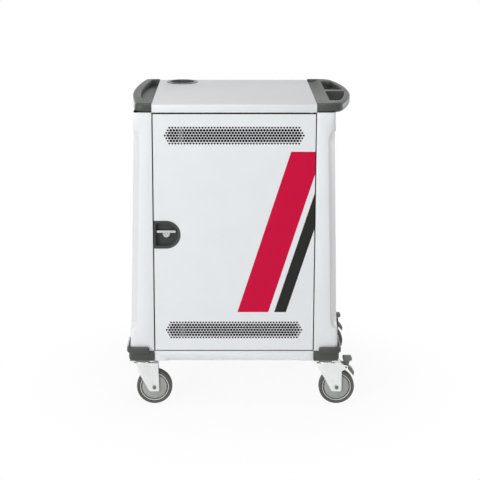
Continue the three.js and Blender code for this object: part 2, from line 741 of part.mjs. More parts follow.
function rearDoorPanel() {
  const slots = [DOOR_Z0 + VENT_FROM_END, DOOR_Z1 - VENT_FROM_END].flatMap((centre) =>
    Array.from({ length: LOUVRE_COUNT }, (_, i) => {
      const z = centre + (i - (LOUVRE_COUNT - 1) / 2) * LOUVRE_PITCH;
      const half = LOUVRE_H / 2;
      return polygon(
        [-LOUVRE_X, z],
        [half - LOUVRE_X, z - half],
        [LOUVRE_X - half, z - half],
        [LOUVRE_X, z],
        [LOUVRE_X - half, z + half],
        [half - LOUVRE_X, z + half],
      );
    }),
  );
  return cut(
    doorPan(),
    prismY(slots, -FACE_Y - OVER, SHEET + OVER - FACE_Y),
    barY(LOCK_X, LOCK_Z, SLEEVE_R + SEAT, -FACE_Y - OVER, SHEET + OVER - FACE_Y),
  );
}

// Door stiffener: an upright channel behind the skin, just inside the lock cup.
function doorStiffener() {
  const x0 = LOCK_X + LOCK_CUP_R - LOCK_CUP_RIM + LOCK_CUP_WALL + OVER;
  const x1 = x0 + STIFFENER_W;
  const skin = SHEET + SEAT - FACE_Y;
  const back = DOOR_T - SHEET - SEAT - FACE_Y;
  const section = polygon(
    [x0, skin],
    [x0 + STIFFENER_T, skin],
    [x0 + STIFFENER_T, back - STIFFENER_T],
    [x1 - STIFFENER_T, back - STIFFENER_T],
    [x1 - STIFFENER_T, skin],
    [x1, skin],
    [x1, back],
    [x0, back],
  );
  return prismZ(section, DOOR_Z0 + SHEET + SEAT, DOOR_Z1 - SHEET - SEAT);
}

// Pivot pin: a shouldered pin between the door's edge and the base rail or the deck.
function pivotPin(sinkEnd, shoulder0, shoulder1, gripEnd) {
  return join(
    barZ(PIVOT_X, PIVOT_Y, PIVOT_R, Math.min(sinkEnd, gripEnd), Math.max(sinkEnd, gripEnd)),
    barZ(PIVOT_X, PIVOT_Y, PIVOT_COLLAR_R, shoulder0 + SEAT, shoulder1 - SEAT),
  );
}

const lowerPivot = () =>
  pivotPin(FLOOR_Z - PIVOT_SINK + SEAT, FLOOR_Z, DOOR_Z0, DOOR_Z0 + PIVOT_GRIP);

const upperPivot = () =>
  pivotPin(DECK_Z + PIVOT_SINK - SEAT, DOOR_Z1, DECK_Z, DOOR_Z1 - PIVOT_GRIP);

// Lock cup: a dished plate let into the door, with finger room round the lever.
function lockCup() {
  const face = -FACE_Y - SEAT;
  const floor = LOCK_FLOOR_Y;
  const wall = lockOutline(SHEET + SEAT, LOCK_CUP_RIM - LOCK_CUP_WALL);
  const well = lockOutline(LOCK_CUP_EDGE, LOCK_CUP_RIM);
  return cut(
    join(
      prismY(lockOutline(0, 0), face - LOCK_FLANGE_T, face),
      prismY(wall, face, floor + LOCK_FLOOR),
    ),
    prismY(well, face - LOCK_FLANGE_T - OVER, floor),
    barY(LOCK_X, LOCK_Z, SLEEVE_R + SEAT, floor - OVER, floor + LOCK_FLOOR + OVER),
  );
}

// Lock housing: a collared sleeve that stands on a panel and carries the shaft.
function lockHousing(panelY) {
  const face = panelY - SEAT;
  const back = -FLANGE_Y - OVER;
  const bore = SHAFT_R + TURN_GAP;
  const profile = [
    [bore, face - COLLAR_T],
    [COLLAR_R, face - COLLAR_T],
    [COLLAR_R, face],
    [SLEEVE_R, face],
    [SLEEVE_R, back],
    [bore, back],
    [bore, face - COLLAR_T],
  ];
  return turnedY(profile, PIN_SIDES).translate(LOCK_X, 0, LOCK_Z);
}

// Lock lever: a wing above a round hub, with the shaft that turns the cam.
function lockLever() {
  const back = LOCK_FLOOR_Y - 2 * SEAT - COLLAR_T;
  const front = back - LEVER_T;
  const shaft = [
    [0, front],
    [LEVER_R, front],
    [LEVER_R, back],
    [SHAFT_R, back],
    [SHAFT_R, CAM_Y + CAM_T],
    [0, CAM_Y + CAM_T],
  ];
  const wing = roundedRect([-WING_L / 2, WING_L / 2], [WING_LIFT, WING_LIFT + WING_H], WING_H / 2.5);
  const bore = barY(0, 0, BARREL_R + TURN_GAP, front - OVER, front + BARREL_D);
  return cut(
    join(turnedY(shaft, PIN_SIDES), prismY(wing, back - WING_T, back)),
    bore,
  ).translate(LOCK_X, 0, LOCK_Z);
}

// Key barrel: a short plug with a key slot, in the lever's hub.
function keyBarrel() {
  const front = LOCK_FLOOR_Y - 2 * SEAT - COLLAR_T - LEVER_T;
  const slot = box(
    [-KEY_SLOT_W / 2, KEY_SLOT_W / 2],
    [front - 2 * OVER, front + OVER],
    [-BARREL_R * 0.7, BARREL_R * 0.7],
  );
  const plug = barY(0, 0, BARREL_R, front - OVER / 2, front + BARREL_D - SEAT);
  return cut(plug, slot).translate(LOCK_X, 0, LOCK_Z);
}

// Lock cam: a bar on the shaft that hangs clear of the wall's flange and turns behind it to lock.
function camBar(boreR) {
  const bar = roundedRect([-CAM_W / 2, CAM_W / 2], [-CAM_L, CAM_W / 2], CAM_W / 3);
  const plate = prismY(bar, CAM_Y, CAM_Y + CAM_T);
  return boreR ? cut(plate, barY(0, 0, boreR, CAM_Y - OVER, CAM_Y + CAM_T + OVER)) : plate;
}

const lockCam = () => camBar(SHAFT_R + SEAT).translate(LOCK_X, 0, LOCK_Z);

// Rear lock core: a key plug, its shaft and its cam in one.
function rearLockCore() {
  const front = -FACE_Y - SEAT - COLLAR_T - SEAT;
  const shaft = [
    [0, front - 2],
    [COLLAR_R - 3, front - 2],
    [COLLAR_R - 3, front],
    [SHAFT_R, front],
    [SHAFT_R, CAM_Y + CAM_T],
    [0, CAM_Y + CAM_T],
  ];
  const slot = box(
    [-KEY_SLOT_W / 2, KEY_SLOT_W / 2],
    [front - 2 - OVER, front - OVER],
    [-BARREL_R, BARREL_R],
  );
  return cut(join(turnedY(shaft, PIN_SIDES), camBar(0)), slot).translate(LOCK_X, 0, LOCK_Z);
}

// Power partition: a steel sheet between the laptops and the power bay, slotted for leads.
function partition() {
  const sheet = box(
    [SEAT - INNER_X, INNER_X - SEAT],
    [PARTITION_Y, PARTITION_Y + SHEET],
    [FLOOR_Z + SEAT, DECK_Z - SEAT],
  );
  const slots = [FLOOR_Z, SHELF_TOP].map((tier) => {
    const z = tier + CABLE_SLOT_Z;
    return box(
      [-CABLE_SLOT_X, CABLE_SLOT_X],
      [PARTITION_Y - OVER, PARTITION_Y + SHEET + OVER],
      [z, z + CABLE_SLOT_H],
    );
  });
  return cut(sheet, ...slots);
}

// Laptop shelf: a sheet with its front edge turned down.
function laptopShelf() {
  const front = SHELF_SETBACK - FACE_Y;
  const rear = PARTITION_Y - SEAT;
  const section = polygon(
    [front, SHELF_TOP - SHELF_LIP],
    [front + SHEET, SHELF_TOP - SHELF_LIP],
    [front + SHEET, SHELF_TOP - SHEET],
    [rear, SHELF_TOP - SHEET],
    [rear, SHELF_TOP],
    [front, SHELF_TOP],
  );
  return prismX(section, SEAT - INNER_X, INNER_X - SEAT);
}

// Divider rack: a base sheet with upright dividers, sloped at their upper front corners.
function dividerRack(tier) {
  const half = INNER_X - RACK_MARGIN;
  const front = SHELF_SETBACK + RACK_MARGIN - FACE_Y;
  const rear = PARTITION_Y - RACK_MARGIN;
  const z0 = tier + SEAT;
  const top = z0 + DIVIDER_H;
  const outline = polygon(
    [front, z0],
    [rear, z0],
    [rear, top],
    [front + DIVIDER_SLOPE, top],
    [front, top - DIVIDER_SLOPE],
  );
  const pitch = (2 * half) / BAYS;
  const dividers = Array.from({ length: BAYS - 1 }, (_, i) => {
    const x = (i + 1) * pitch - half;
    return prismX(outline, x - DIVIDER_T / 2, x + DIVIDER_T / 2);
  });
  return join(box([-half, half], [front, rear], [z0, z0 + RACK_T]), ...dividers);
}

// Socket strip: a long housing on the partition with a row of square sockets facing the rear.
function socketStrip(tier) {
  const y0 = PARTITION_Y + SHEET + SEAT;
  const z0 = tier + STRIP_Z;
  const pitch = (2 * STRIP_X) / BAYS;
  const sockets = Array.from({ length: BAYS }, (_, i) => {
    const x = (i - (BAYS - 1) / 2) * pitch;
    const z = z0 + STRIP_H / 2;
    return polygon(
      [x - SOCKET_W / 2, z - SOCKET_W / 2],
      [x + SOCKET_W / 2, z - SOCKET_W / 2],
      [x + SOCKET_W / 2, z + SOCKET_W / 2],
      [x - SOCKET_W / 2, z + SOCKET_W / 2],
    );
  });
  return cut(
    box([-STRIP_X, STRIP_X], [y0, y0 + STRIP_D], [z0, z0 + STRIP_H]),
    prismY(sockets, y0 + STRIP_D - SOCKET_D, y0 + STRIP_D + OVER),
  );
}

// Power unit: the charging controller on the floor of the power bay.
function powerUnit() {
  const y0 = PARTITION_Y + SHEET + SEAT;
  const z0 = FLOOR_Z + SEAT;
  return box([UNIT_X - UNIT_W / 2, UNIT_X + UNIT_W / 2], [y0, y0 + UNIT_D], [z0, z0 + UNIT_H]);
}

// Lead cleat, drawn standing on the plane x = 0: a plate with an upper and a lower hook.
function leadCleat() {
  const top = CLEAT_H / 2;
  const stem = CLEAT_STEM / 2;
  const inner = CLEAT_PROUD - CLEAT_HOOK;
  const outline = polygon(
    [0, -top],
    [CLEAT_PLATE, -top],
    [CLEAT_PLATE, -stem],
    [inner, -stem],
    [inner, -top],
    [CLEAT_PROUD, -top],
    [CLEAT_PROUD, top],
    [inner, top],
    [inner, stem],
    [CLEAT_PLATE, stem],
    [CLEAT_PLATE, top],
    [0, top],
  );
  return prismY(outline, -CLEAT_W / 2, CLEAT_W / 2);
}

// Mains inlet, drawn standing on the plane x = 0: a flanged housing with a recessed socket.
function mainsInlet() {
  const block = (x0, x1, w, h) => box([x0, x1], [-w / 2, w / 2], [-h / 2, h / 2]);
  return cut(
    block(0, INLET_T, INLET_W, INLET_H),
    block(INLET_T / 4, INLET_T + OVER, INLET_SOCKET_W, INLET_SOCKET_H),
  );
}

// Caster plate: a top plate with the swivel's ball race under it.
function casterPlate() {
  const z0 = CASTER_H - PLATE_T;
  const plate = box([-PLATE_W / 2, PLATE_W / 2], [-PLATE_D / 2, PLATE_D / 2], [z0, CASTER_H]);
  return join(plate, prismZ(regular(0, 0, RACE_R, RACE_SIDES), z0 - RACE_H, z0 + SEAT));
}

// Caster fork: two raked cheeks under a crown, with arms for the brake pedal on braked casters.
function casterFork(braked) {
  const inner = FORK_GAP / 2;
  const foot = AXLE_Z - CHEEK_DROP;
  const cheek = new THREE.Shape();
  cheek.moveTo(CHEEK_BACK, CROWN_TOP);
  cheek.lineTo(CHEEK_BACK, CROWN_TOP - CROWN_T);
  cheek.lineTo(TRAIL - CHEEK_FOOT - CHEEK_ROUND / 2, foot + CHEEK_ROUND);
  cheek.quadraticCurveTo(TRAIL - CHEEK_FOOT, foot, TRAIL - CHEEK_FOOT + CHEEK_ROUND, foot);
  cheek.lineTo(TRAIL + CHEEK_FOOT - CHEEK_ROUND, foot);
  cheek.quadraticCurveTo(TRAIL + CHEEK_FOOT, foot, TRAIL + CHEEK_FOOT, foot + CHEEK_ROUND);
  if (braked) {
    cheek.lineTo(CHEEK_FRONT + 3, BRAKE_Z - 2 * BRAKE_BOSS_R);
    cheek.lineTo(BRAKE_X, BRAKE_Z - BRAKE_BOSS_R);
    cheek.absarc(BRAKE_X, BRAKE_Z, BRAKE_BOSS_R, -Math.PI / 2, Math.PI / 2);
  }
  cheek.lineTo(CHEEK_FRONT, CROWN_TOP - CROWN_T);
  cheek.lineTo(CHEEK_FRONT, CROWN_TOP);
  const body = join(
    prismY(cheek, inner, FORK_OUT),
    prismY(cheek, -FORK_OUT, -inner),
    box([CHEEK_BACK, CHEEK_FRONT], [-FORK_OUT, FORK_OUT], [CROWN_TOP - CROWN_T, CROWN_TOP]),
    prismZ(regular(0, 0, HEAD_R, RACE_SIDES), CROWN_TOP - CROWN_T, FORK_TOP),
  );
  const axleBore = barY(TRAIL, AXLE_Z, AXLE_R + SEAT, -FORK_OUT - OVER, FORK_OUT + OVER);
  const pedalBore = barY(BRAKE_X, BRAKE_Z, BRAKE_PIN_R + SEAT, -FORK_OUT - OVER, FORK_OUT + OVER);
  return braked ? cut(body, axleBore, pedalBore) : cut(body, axleBore);
}

// Wheel axle: a bolt across the fork with a head and a nut outside the cheeks.
function wheelAxle() {
  const seat = FORK_OUT + SEAT;
  const end = seat + AXLE_HEAD_T;
  const profile = [
    [0, -end],
    [AXLE_HEAD_R, -end],
    [AXLE_HEAD_R, -seat],
    [AXLE_R, -seat],
    [AXLE_R, seat],
    [AXLE_HEAD_R, seat],
    [AXLE_HEAD_R, end],
    [0, end],
  ];
  return turnedY(profile, PIN_SIDES).translate(TRAIL, 0, AXLE_Z);
}

// Wheel hub: a boss, a disc and a rim, with a groove inside the rim on both faces.
function wheelHub() {
  const rim = RIM_W / 2;
  const disc = rim - 1;
  const half = [
    [AXLE_R + SEAT, HUB_W / 2],
    [GROOVE_R, disc],
    [(GROOVE_R + RIM_R - RIM_T) / 2, disc - GROOVE_D],
    [RIM_R - RIM_T, rim],
    [RIM_R, rim],
  ];
  const mirrored = half.map(([radius, along]) => [radius, -along]);
  const profile = [...mirrored, ...half.reverse(), mirrored[0]];
  return turnedY(profile, WHEEL_SIDES).translate(TRAIL, 0, AXLE_Z);
}

// Tyre: a moulded ring with rounded shoulders.
function wheelTyre() {
  const half = TYRE_W / 2;
  const inner = RIM_R + SEAT;
  const profile = [
    [inner, -RIM_W / 2],
    [WHEEL_R - TYRE_ROUND, -half],
    [WHEEL_R, TYRE_ROUND - half],
    [WHEEL_R, half - TYRE_ROUND],
    [WHEEL_R - TYRE_ROUND, half],
    [inner, RIM_W / 2],
    [inner, -RIM_W / 2],
  ];
  return turnedY(profile, WHEEL_SIDES).translate(TRAIL, 0, AXLE_Z);
}

// Brake pedal: a pad to tread on, a pivot boss with its pin, and a release tab beside the tyre.
function brakePedal() {
  const half = BRAKE_W / 2;
  const pad = roundedRect([PAD_X0, PAD_X1], [PAD_Z0, PAD_Z1], PAD_ROUND);
  const web = polygon(
    [BRAKE_X - BRAKE_BOSS_R, BRAKE_Z],
    [BRAKE_X + BRAKE_BOSS_R, BRAKE_Z - BRAKE_BOSS_R],
    [BRAKE_X + 2 * BRAKE_BOSS_R, PAD_Z0 + PAD_ROUND],
    [BRAKE_X - BRAKE_BOSS_R, PAD_Z0 + PAD_ROUND],
  );
  const tab = polygon(
    [BRAKE_X + 2, BRAKE_Z - 4],
    [BRAKE_X + 8, BRAKE_Z - 11],
    [BRAKE_X + 27, BRAKE_Z - 35],
    [BRAKE_X + 29, BRAKE_Z - 22],
    [BRAKE_X + 19, BRAKE_Z - 6],
    [BRAKE_X + 5, BRAKE_Z + 4],
  );
  return join(
    prismY(pad, -PAD_W / 2, PAD_W / 2),
    prismY(web, -half, half),
    barY(BRAKE_X, BRAKE_Z, BRAKE_BOSS_R, -half, half),
    prismY(tab, -half, half),
    barY(BRAKE_X, BRAKE_Z, BRAKE_PIN_R, -FORK_OUT, FORK_OUT),
  );
}

// The assembly
const cart = new THREE.Group();

function add(parent, name, geometry, material) {
  const mesh = new THREE.Mesh(geometry, material);
  mesh.name = name;
  parent.add(mesh);
  return mesh;
}

const cabinet = new THREE.Group();
cart.add(cabinet);
add(cabinet, "base_pan", basePan(), POWDER_COAT);
for (const [side, sign] of [["left", -1], ["right", 1]]) {
  add(cabinet, `${side}_base_channel`, baseChannel(), ZINC).scale.x = sign;
  add(cabinet, `${side}_side_cover`, sideCover(), WHITE_MOULDING).scale.x = sign;
  add(cabinet, `${side}_inner_wall`, innerWall(), INNER_COAT).scale.x = sign;
  for (const [end, turn] of [["front", -1], ["rear", 1]]) {
    add(cabinet, `${end}_${side}_bumper`, bumper(), DARK_MOULDING).scale.set(sign, turn, 1);
  }
}
add(cabinet, "power_partition", partition(), INNER_COAT);
add(cabinet, "laptop_shelf", laptopShelf(), INNER_COAT);
for (const [level, tier] of [["lower", FLOOR_Z], ["upper", SHELF_TOP]]) {
  add(cabinet, `${level}_divider_rack`, dividerRack(tier), BLACK_PLASTIC);
  add(cabinet, `${level}_socket_strip`, socketStrip(tier), BLACK_PLASTIC);
}
add(cabinet, "power_unit", powerUnit(), BLACK_PLASTIC);
add(cabinet, "deck_panel", deckPanel(), POWDER_COAT);
add(cabinet, "deck_cup", deckCup(), DARK_MOULDING);
add(cabinet, "pen_tray", trayEnd(), DARK_MOULDING).scale.x = -1;
add(cabinet, "push_handle", pushEnd(), DARK_MOULDING);

// What stands on the push side leans with the cover's flare.
const lean = -Math.atan((FLARE_FOOT - FLARE_TOP) / CABINET_H);
const onSide = [
  ["lead_cleat", leadCleat(), CLEAT_FROM_FRONT - FACE_Y, FLOOR_Z + CLEAT_Z, DARK_MOULDING],
  ["mains_inlet", mainsInlet(), FACE_Y - INLET_FROM_REAR, FLOOR_Z + INLET_Z, BLACK_PLASTIC],
];
for (const [name, geometry, y, z, material] of onSide) {
  const mesh = add(cabinet, name, geometry, material);
  mesh.position.set(coverX(z) + SEAT, y, z);
  mesh.rotation.y = lean;
}

// Doors: both are drawn at the front, and the rear one is turned half round.
const frontDoor = new THREE.Group();
const rearDoor = new THREE.Group();
rearDoor.rotation.z = Math.PI;
cart.add(frontDoor, rearDoor);
for (const [end, door] of [["front", frontDoor], ["rear", rearDoor]]) {
  add(door, `${end}_lower_pivot`, lowerPivot(), ZINC);
  add(door, `${end}_upper_pivot`, upperPivot(), ZINC);
}
add(frontDoor, "front_door_panel", frontDoorPanel(), POWDER_COAT);
add(frontDoor, "front_door_stiffener", doorStiffener(), POWDER_COAT);
add(frontDoor, "lock_cup", lockCup(), DARK_MOULDING);
add(frontDoor, "lock_housing", lockHousing(LOCK_FLOOR_Y), ZINC);
add(frontDoor, "lock_lever", lockLever(), CHROME);
add(frontDoor, "key_barrel", keyBarrel(), CHROME);
add(frontDoor, "lock_cam", lockCam(), ZINC);
add(rearDoor, "rear_door_panel", rearDoorPanel(), POWDER_COAT);
add(rearDoor, "rear_lock_housing", lockHousing(-FACE_Y), ZINC);
add(rearDoor, "rear_lock_core", rearLockCore(), CHROME);

// Casters: all four trail towards the push handle, and those under it have brakes.
for (const [side, x] of [["left", -CASTER_X], ["right", CASTER_X]]) {
  for (const [end, y] of [["front", CASTER_SETBACK - FACE_Y], ["rear", FACE_Y - CASTER_SETBACK]]) {
    const caster = new THREE.Group();
    caster.position.set(x, y, 0);
    cart.add(caster);
    const name = `${end}_${side}`;
    const braked = side === "right";
    add(caster, `${name}_caster_plate`, casterPlate(), ZINC);
    add(caster, `${name}_fork`, casterFork(braked), ZINC);
    add(caster, `${name}_axle`, wheelAxle(), ZINC);
    add(caster, `${name}_wheel_hub`, wheelHub(), GREY_PLASTIC);
    add(caster, `${name}_tyre`, wheelTyre(), RUBBER);
    if (braked) add(caster, `${name}_brake_pedal`, brakePedal(), GREY_PLASTIC);
  }
}

// The cart stands on the floor with its outer box centred over the origin.
const extent = new THREE.Box3().setFromObject(cart, true);
const middle = extent.getCenter(new THREE.Vector3());
cart.position.set(-middle.x, -middle.y, -extent.min.z);

export default cart;
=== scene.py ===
# %% [markdown]
# # A laptop charging cart
# This lesson dresses a CAD model of a charging cart: a steel cabinet behind a perforated door, with
# moulded handles, corner bumpers and swivel casters. The CAD solids already have the right sizes and
# joints, so Blender's work is the rounded edges, the turned wheels, the real vent holes and the finishes.

# %% Load the frame
import json
from math import cos, pi, radians, sin

import bmesh
import bpy
from mathutils import Matrix, Vector

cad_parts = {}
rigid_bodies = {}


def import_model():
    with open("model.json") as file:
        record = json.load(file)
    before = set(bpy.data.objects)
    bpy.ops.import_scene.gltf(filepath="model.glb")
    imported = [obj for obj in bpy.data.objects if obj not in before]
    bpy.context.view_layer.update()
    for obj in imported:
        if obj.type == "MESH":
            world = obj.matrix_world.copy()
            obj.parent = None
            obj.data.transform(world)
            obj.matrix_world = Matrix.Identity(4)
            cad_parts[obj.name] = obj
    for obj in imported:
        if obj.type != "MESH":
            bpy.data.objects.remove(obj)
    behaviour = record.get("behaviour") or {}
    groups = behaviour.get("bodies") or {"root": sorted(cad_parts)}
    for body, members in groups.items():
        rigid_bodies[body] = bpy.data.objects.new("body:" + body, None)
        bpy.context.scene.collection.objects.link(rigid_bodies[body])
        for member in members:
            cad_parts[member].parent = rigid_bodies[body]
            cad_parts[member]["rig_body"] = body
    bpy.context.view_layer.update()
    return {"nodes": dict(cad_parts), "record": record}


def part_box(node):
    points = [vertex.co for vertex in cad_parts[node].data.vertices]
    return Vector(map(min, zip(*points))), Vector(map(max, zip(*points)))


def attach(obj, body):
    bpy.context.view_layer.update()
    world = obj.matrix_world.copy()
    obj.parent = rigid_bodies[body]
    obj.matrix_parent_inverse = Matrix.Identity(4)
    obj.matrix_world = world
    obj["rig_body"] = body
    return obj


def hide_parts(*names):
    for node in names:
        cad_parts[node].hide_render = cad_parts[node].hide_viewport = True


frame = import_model()
body_of = {node: obj["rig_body"] for node, obj in frame["nodes"].items()}
slot_of = {row["node"]: row["material_slot"] for row in frame["record"]["subparts"]}
MM = 0.001

# %% [markdown]
# ## Camera
# The photograph looks at the front from a little above, through a long lens. A camera that is tipped
# down makes upright edges lean together, and a lens shift lets it be tipped less. A small shift keeps
# the other views framed, so the camera is tipped for the most part and shifted for the rest.

# %% Camera
SENSOR, LENS, CLIP_END = 36, 101.8, 100
SHIFT_X, SHIFT_Y = 0.0256, -0.1
CAMERA_AT, TIPPED_DOWN = (-0.0474, -4.717, 1.745), 12.53
camera_data = bpy.data.cameras.new("camera")
camera_data.sensor_width = SENSOR
camera_data.lens = LENS
camera_data.shift_x = SHIFT_X
camera_data.shift_y = SHIFT_Y
camera_data.clip_end = CLIP_END
camera = bpy.data.objects.new("camera", camera_data)
camera.location = CAMERA_AT
camera.rotation_euler = (radians(90 - TIPPED_DOWN), 0, 0)
bpy.context.scene.collection.objects.link(camera)
bpy.context.scene.camera = camera
bpy.context.scene.view_settings.view_transform = "Standard"
print("camera", tuple(round(v, 2) for v in camera.location), "lens", camera_data.lens)

# %% [markdown]
# ## Shader maths as expressions
# Node trees are easier to read as sums. A Tone wraps one socket: adding or multiplying tones adds Math
# nodes behind the scenes, and one method makes any other node from its type, settings and inputs.


# %% Tones
class Tone:
    def __init__(self, tree, socket):
        self.tree, self.socket = tree, socket

    def feed(self, socket, value):
        if isinstance(value, Tone):
            self.tree.links.new(value.socket, socket)
        else:
            socket.default_value = value

    def node(self, kind, settings, inputs, output=0):
        made = self.tree.nodes.new(kind)
        for name, value in settings.items():
            setattr(made, name, value)
        for name, value in inputs.items():
            self.feed(made.inputs[name], value)
        return Tone(self.tree, made.outputs[output])

    def maths(self, operation, a, b):
        return self.node("ShaderNodeMath", {"operation": operation}, {0: a, 1: b})

    def __add__(self, other):
        return self.maths("ADD", self, other)

    def __sub__(self, other):
        return self.maths("SUBTRACT", self, other)

    def __mul__(self, other):
        return self.maths("MULTIPLY", self, other)

    def __lt__(self, other):
        return self.maths("LESS_THAN", self, other)

    def __gt__(self, other):
        return self.maths("GREATER_THAN", self, other)

    def noise(self, scale, detail):
        inputs = {"Vector": self, "Scale": scale, "Detail": detail}
        return self.node("ShaderNodeTexNoise", {}, inputs)

    # A Mix node has inputs and outputs for every kind of data, and these are the ones for colours.
    def blend(self, first, second):
        inputs = {0: self, 6: first, 7: second}
        return self.node("ShaderNodeMix", {"data_type": "RGBA"}, inputs, 2)

    def spread(self, low, high):
        inputs = {"Value": self, "From Min": low, "From Max": high}
        return self.node("ShaderNodeMapRange", {"interpolation_type": "SMOOTHSTEP"}, inputs)


def shade(colour, factor):
    return tuple(min(1.0, channel * factor) for channel in colour) + (1.0,)


print("Tone has", len([name for name in vars(Tone) if not name.startswith("_")]), "methods")

# %% [markdown]
# ## Finishes
# Every finish here is one colour that isn't quite even. Powder coat has the soft dimples of orange
# peel, moulded plastic a fine grain, zinc plate a cloudy bloom and rubber a dry speckle. Each is made
# from two noises on Object coordinates: a wide one moves the gloss and most of the colour, a fine one the
# bump and the rest. Image textures would need unwrapping, and these scale with the real object instead.


# %% A recipe for finishes
WIDE_DETAIL, FINE_DETAIL = 4.0, 2.0
WIDE_SHARE, FINE_SHARE = 0.7, 0.3
CONTRAST = (0.3, 0.7)
BUMP_STRENGTH, COAT_ROUGH = 0.6, 0.25


def finish(name, colour, rough, metal=0.0, cloud=12.0, drift=0.05, grain=900.0, height=0.00005,
           rough_drift=0.1, coat=0.0, shine=0.5, artwork=None):
    material = bpy.data.materials.new(name)
    material.use_nodes = True
    tree = material.node_tree
    shader = tree.nodes["Principled BSDF"]
    where = Tone(tree, tree.nodes.new("ShaderNodeTexCoord").outputs["Object"])
    wide = where.noise(cloud, WIDE_DETAIL)
    fine = where.noise(grain, FINE_DETAIL)
    mixed = wide * WIDE_SHARE + fine * FINE_SHARE
    tint = mixed.spread(*CONTRAST).blend(shade(colour, 1 - drift), shade(colour, 1 + drift))
    if artwork:
        tint = artwork(where, tint)
    bump = where.node("ShaderNodeBump", {},
                      {"Height": fine, "Strength": BUMP_STRENGTH, "Distance": height})
    where.feed(shader.inputs["Base Color"], tint)
    where.feed(shader.inputs["Roughness"], wide * rough_drift + (rough - rough_drift / 2))
    where.feed(shader.inputs["Normal"], bump)
    shader.inputs["Metallic"].default_value = metal
    shader.inputs["Specular IOR Level"].default_value = shine
    shader.inputs["Coat Weight"].default_value = coat
    shader.inputs["Coat Roughness"].default_value = COAT_ROUGH
    return material


print("a finish takes", WIDE_SHARE, "of the wide noise and", FINE_SHARE, "of the fine one")

# %% [markdown]
# The cart's finishes differ in colour, gloss and grain. The darkened zinc and the stiffener's dark grey paint
# shade, not a colour of the cart. The side covers are moulded in the same white as the coated steel, with a
# finer grain. Zinc and chrome get most of their look from what they mirror, so their roughness matters as
# much as their colour.

# %% The cart's finishes
WHITE = (0.80, 0.825, 0.84)
RECIPES = {
    "powder_coat": (WHITE, 0.45, dict(drift=0.012, coat=0.1)),
    "dark_moulding": ((0.054, 0.061, 0.055), 0.44, dict(drift=0.12, grain=1800, shine=0.42)),
    "zinc": ((0.82, 0.84, 0.83), 0.36, dict(metal=0.8, cloud=60, drift=0.03, grain=2500, rough_drift=0.05)),
    # Zinc made dark to paint the shade round the swivel race under the bumper; the caster plates and axles
    # take it.
    "race_zinc": ((0.17, 0.19, 0.185), 0.33, dict(metal=0.8, cloud=60, drift=0.08, grain=2500)),
    "chrome": ((0.58, 0.595, 0.59), 0.2, dict(metal=1.0, cloud=90, drift=0.03, grain=600, height=0.00001,
                                              rough_drift=0.06)),
    "rubber": ((0.1, 0.097, 0.094), 0.7, dict(cloud=40, drift=0.15, grain=1500)),
    "grey_plastic": ((0.38, 0.39, 0.37), 0.48, dict(cloud=30, drift=0.05, grain=1600)),
    "pale_plastic": ((0.66, 0.67, 0.65), 0.45, dict(cloud=30, drift=0.04, grain=1600)),
    "pedal_plastic": ((0.15, 0.155, 0.148), 0.5, dict(cloud=30, drift=0.06, grain=1600)),
    "lock_moulding": ((0.056, 0.066, 0.062), 0.5, dict(drift=0.12, grain=1800, shine=0.2)),
    "cup_moulding": ((0.03, 0.034, 0.034), 0.22, dict(drift=0.1, grain=1800)),
    # A dark grey for the stiffener behind the door, painting the shade that shows through the vent holes.
    "primer": ((0.12, 0.125, 0.125), 0.6, dict(drift=0.06, shine=0.2)),
    "white_moulding": (WHITE, 0.4, dict(cloud=8, drift=0.01, grain=1700, coat=0.08)),
    "inner_coat": ((0.018, 0.02, 0.021), 0.6, dict(cloud=20, drift=0.1, grain=900, shine=0.12)),
    "black_plastic": ((0.012, 0.013, 0.014), 0.55, dict(cloud=30, drift=0.15, grain=1400, shine=0.12)),
}
finishes = {name: finish(name, colour, rough, **extra) for name, (colour, rough, extra) in RECIPES.items()}
print("finishes:", ", ".join(finishes))

# %% [markdown]
# Two plain slanting bands are printed on the door's hinge side. They are drawn by comparing a slanted
# coordinate with the bands' edges, so that the print stays sharp at any size.

# %% Door graphic
BAND_EDGES = {(0.0, 0.105): (0.60, 0.0, 0.045, 1.0), (0.125, 0.165): (0.018, 0.018, 0.016, 1.0)}
BAND_START, BAND_SLANT, BAND_SHIFT = 0.035, 0.32, 0.16
BAND_FOOT, BAND_HEAD = 0.345, 0.9
PRINT_DEPTH = 0.5 * MM


def slanting_bands(where, tint):
    x, y, z = (where.node("ShaderNodeSeparateXYZ", {}, {"Vector": where}, i) for i in range(3))
    across = x - z * BAND_SLANT + BAND_SHIFT
    on_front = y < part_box("front_door_panel")[0].y + PRINT_DEPTH
    for (start, end), colour in BAND_EDGES.items():
        mask = (across > BAND_START + start) * (across < BAND_START + end)
        mask = mask * (z > BAND_FOOT) * (z < BAND_HEAD) * on_front
        tint = mask.blend(tint, colour)
    return tint


finishes["printed_door"] = finish("printed_door", WHITE, 0.45, drift=0.012, shine=0.16,
                                  artwork=slanting_bands)
print("bands:", len(BAND_EDGES))

# %% [markdown]
# ## Pieces
# Each new piece is a mesh at the origin that rides on a CAD body. Most stand for one CAD node, and the
# others are trim. Smooth shading with sharp edges above an angle keeps round things round and folds crisp.

# %% Put a piece in the scene
SHARP_ABOVE = radians(38)
slots = {row["slot"] for row in frame["record"]["materials"]}
replaced = []


def put(name, bm, node, look=None, stands_in=True):
    mesh = bpy.data.meshes.new(name)
    bm.to_mesh(mesh)
    bm.free()
    mesh.polygons.foreach_set("use_smooth", [True] * len(mesh.polygons))
    mesh.set_sharp_from_angle(angle=SHARP_ABOVE)
    mesh.materials.append(finishes[look or slot_of[node]])
    piece = bpy.data.objects.new(name, mesh)
    bpy.context.scene.collection.objects.link(piece)
    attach(piece, body_of[node])
    look if look in slots else slot_of[node]
    if stands_in:
        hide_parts(node)
        replaced.append(node)


print("material slots:", len(slots))

# %% [markdown]
# ## Rounded edges
# No real part has a perfectly sharp edge: sheet is folded round a radius and mouldings leave the mould
# with rounded corners, and the thin highlights there are what make a part look real. Each CAD mesh is
# copied, its triangles are joined into flat faces, and the edges that turn sharply are bevelled.


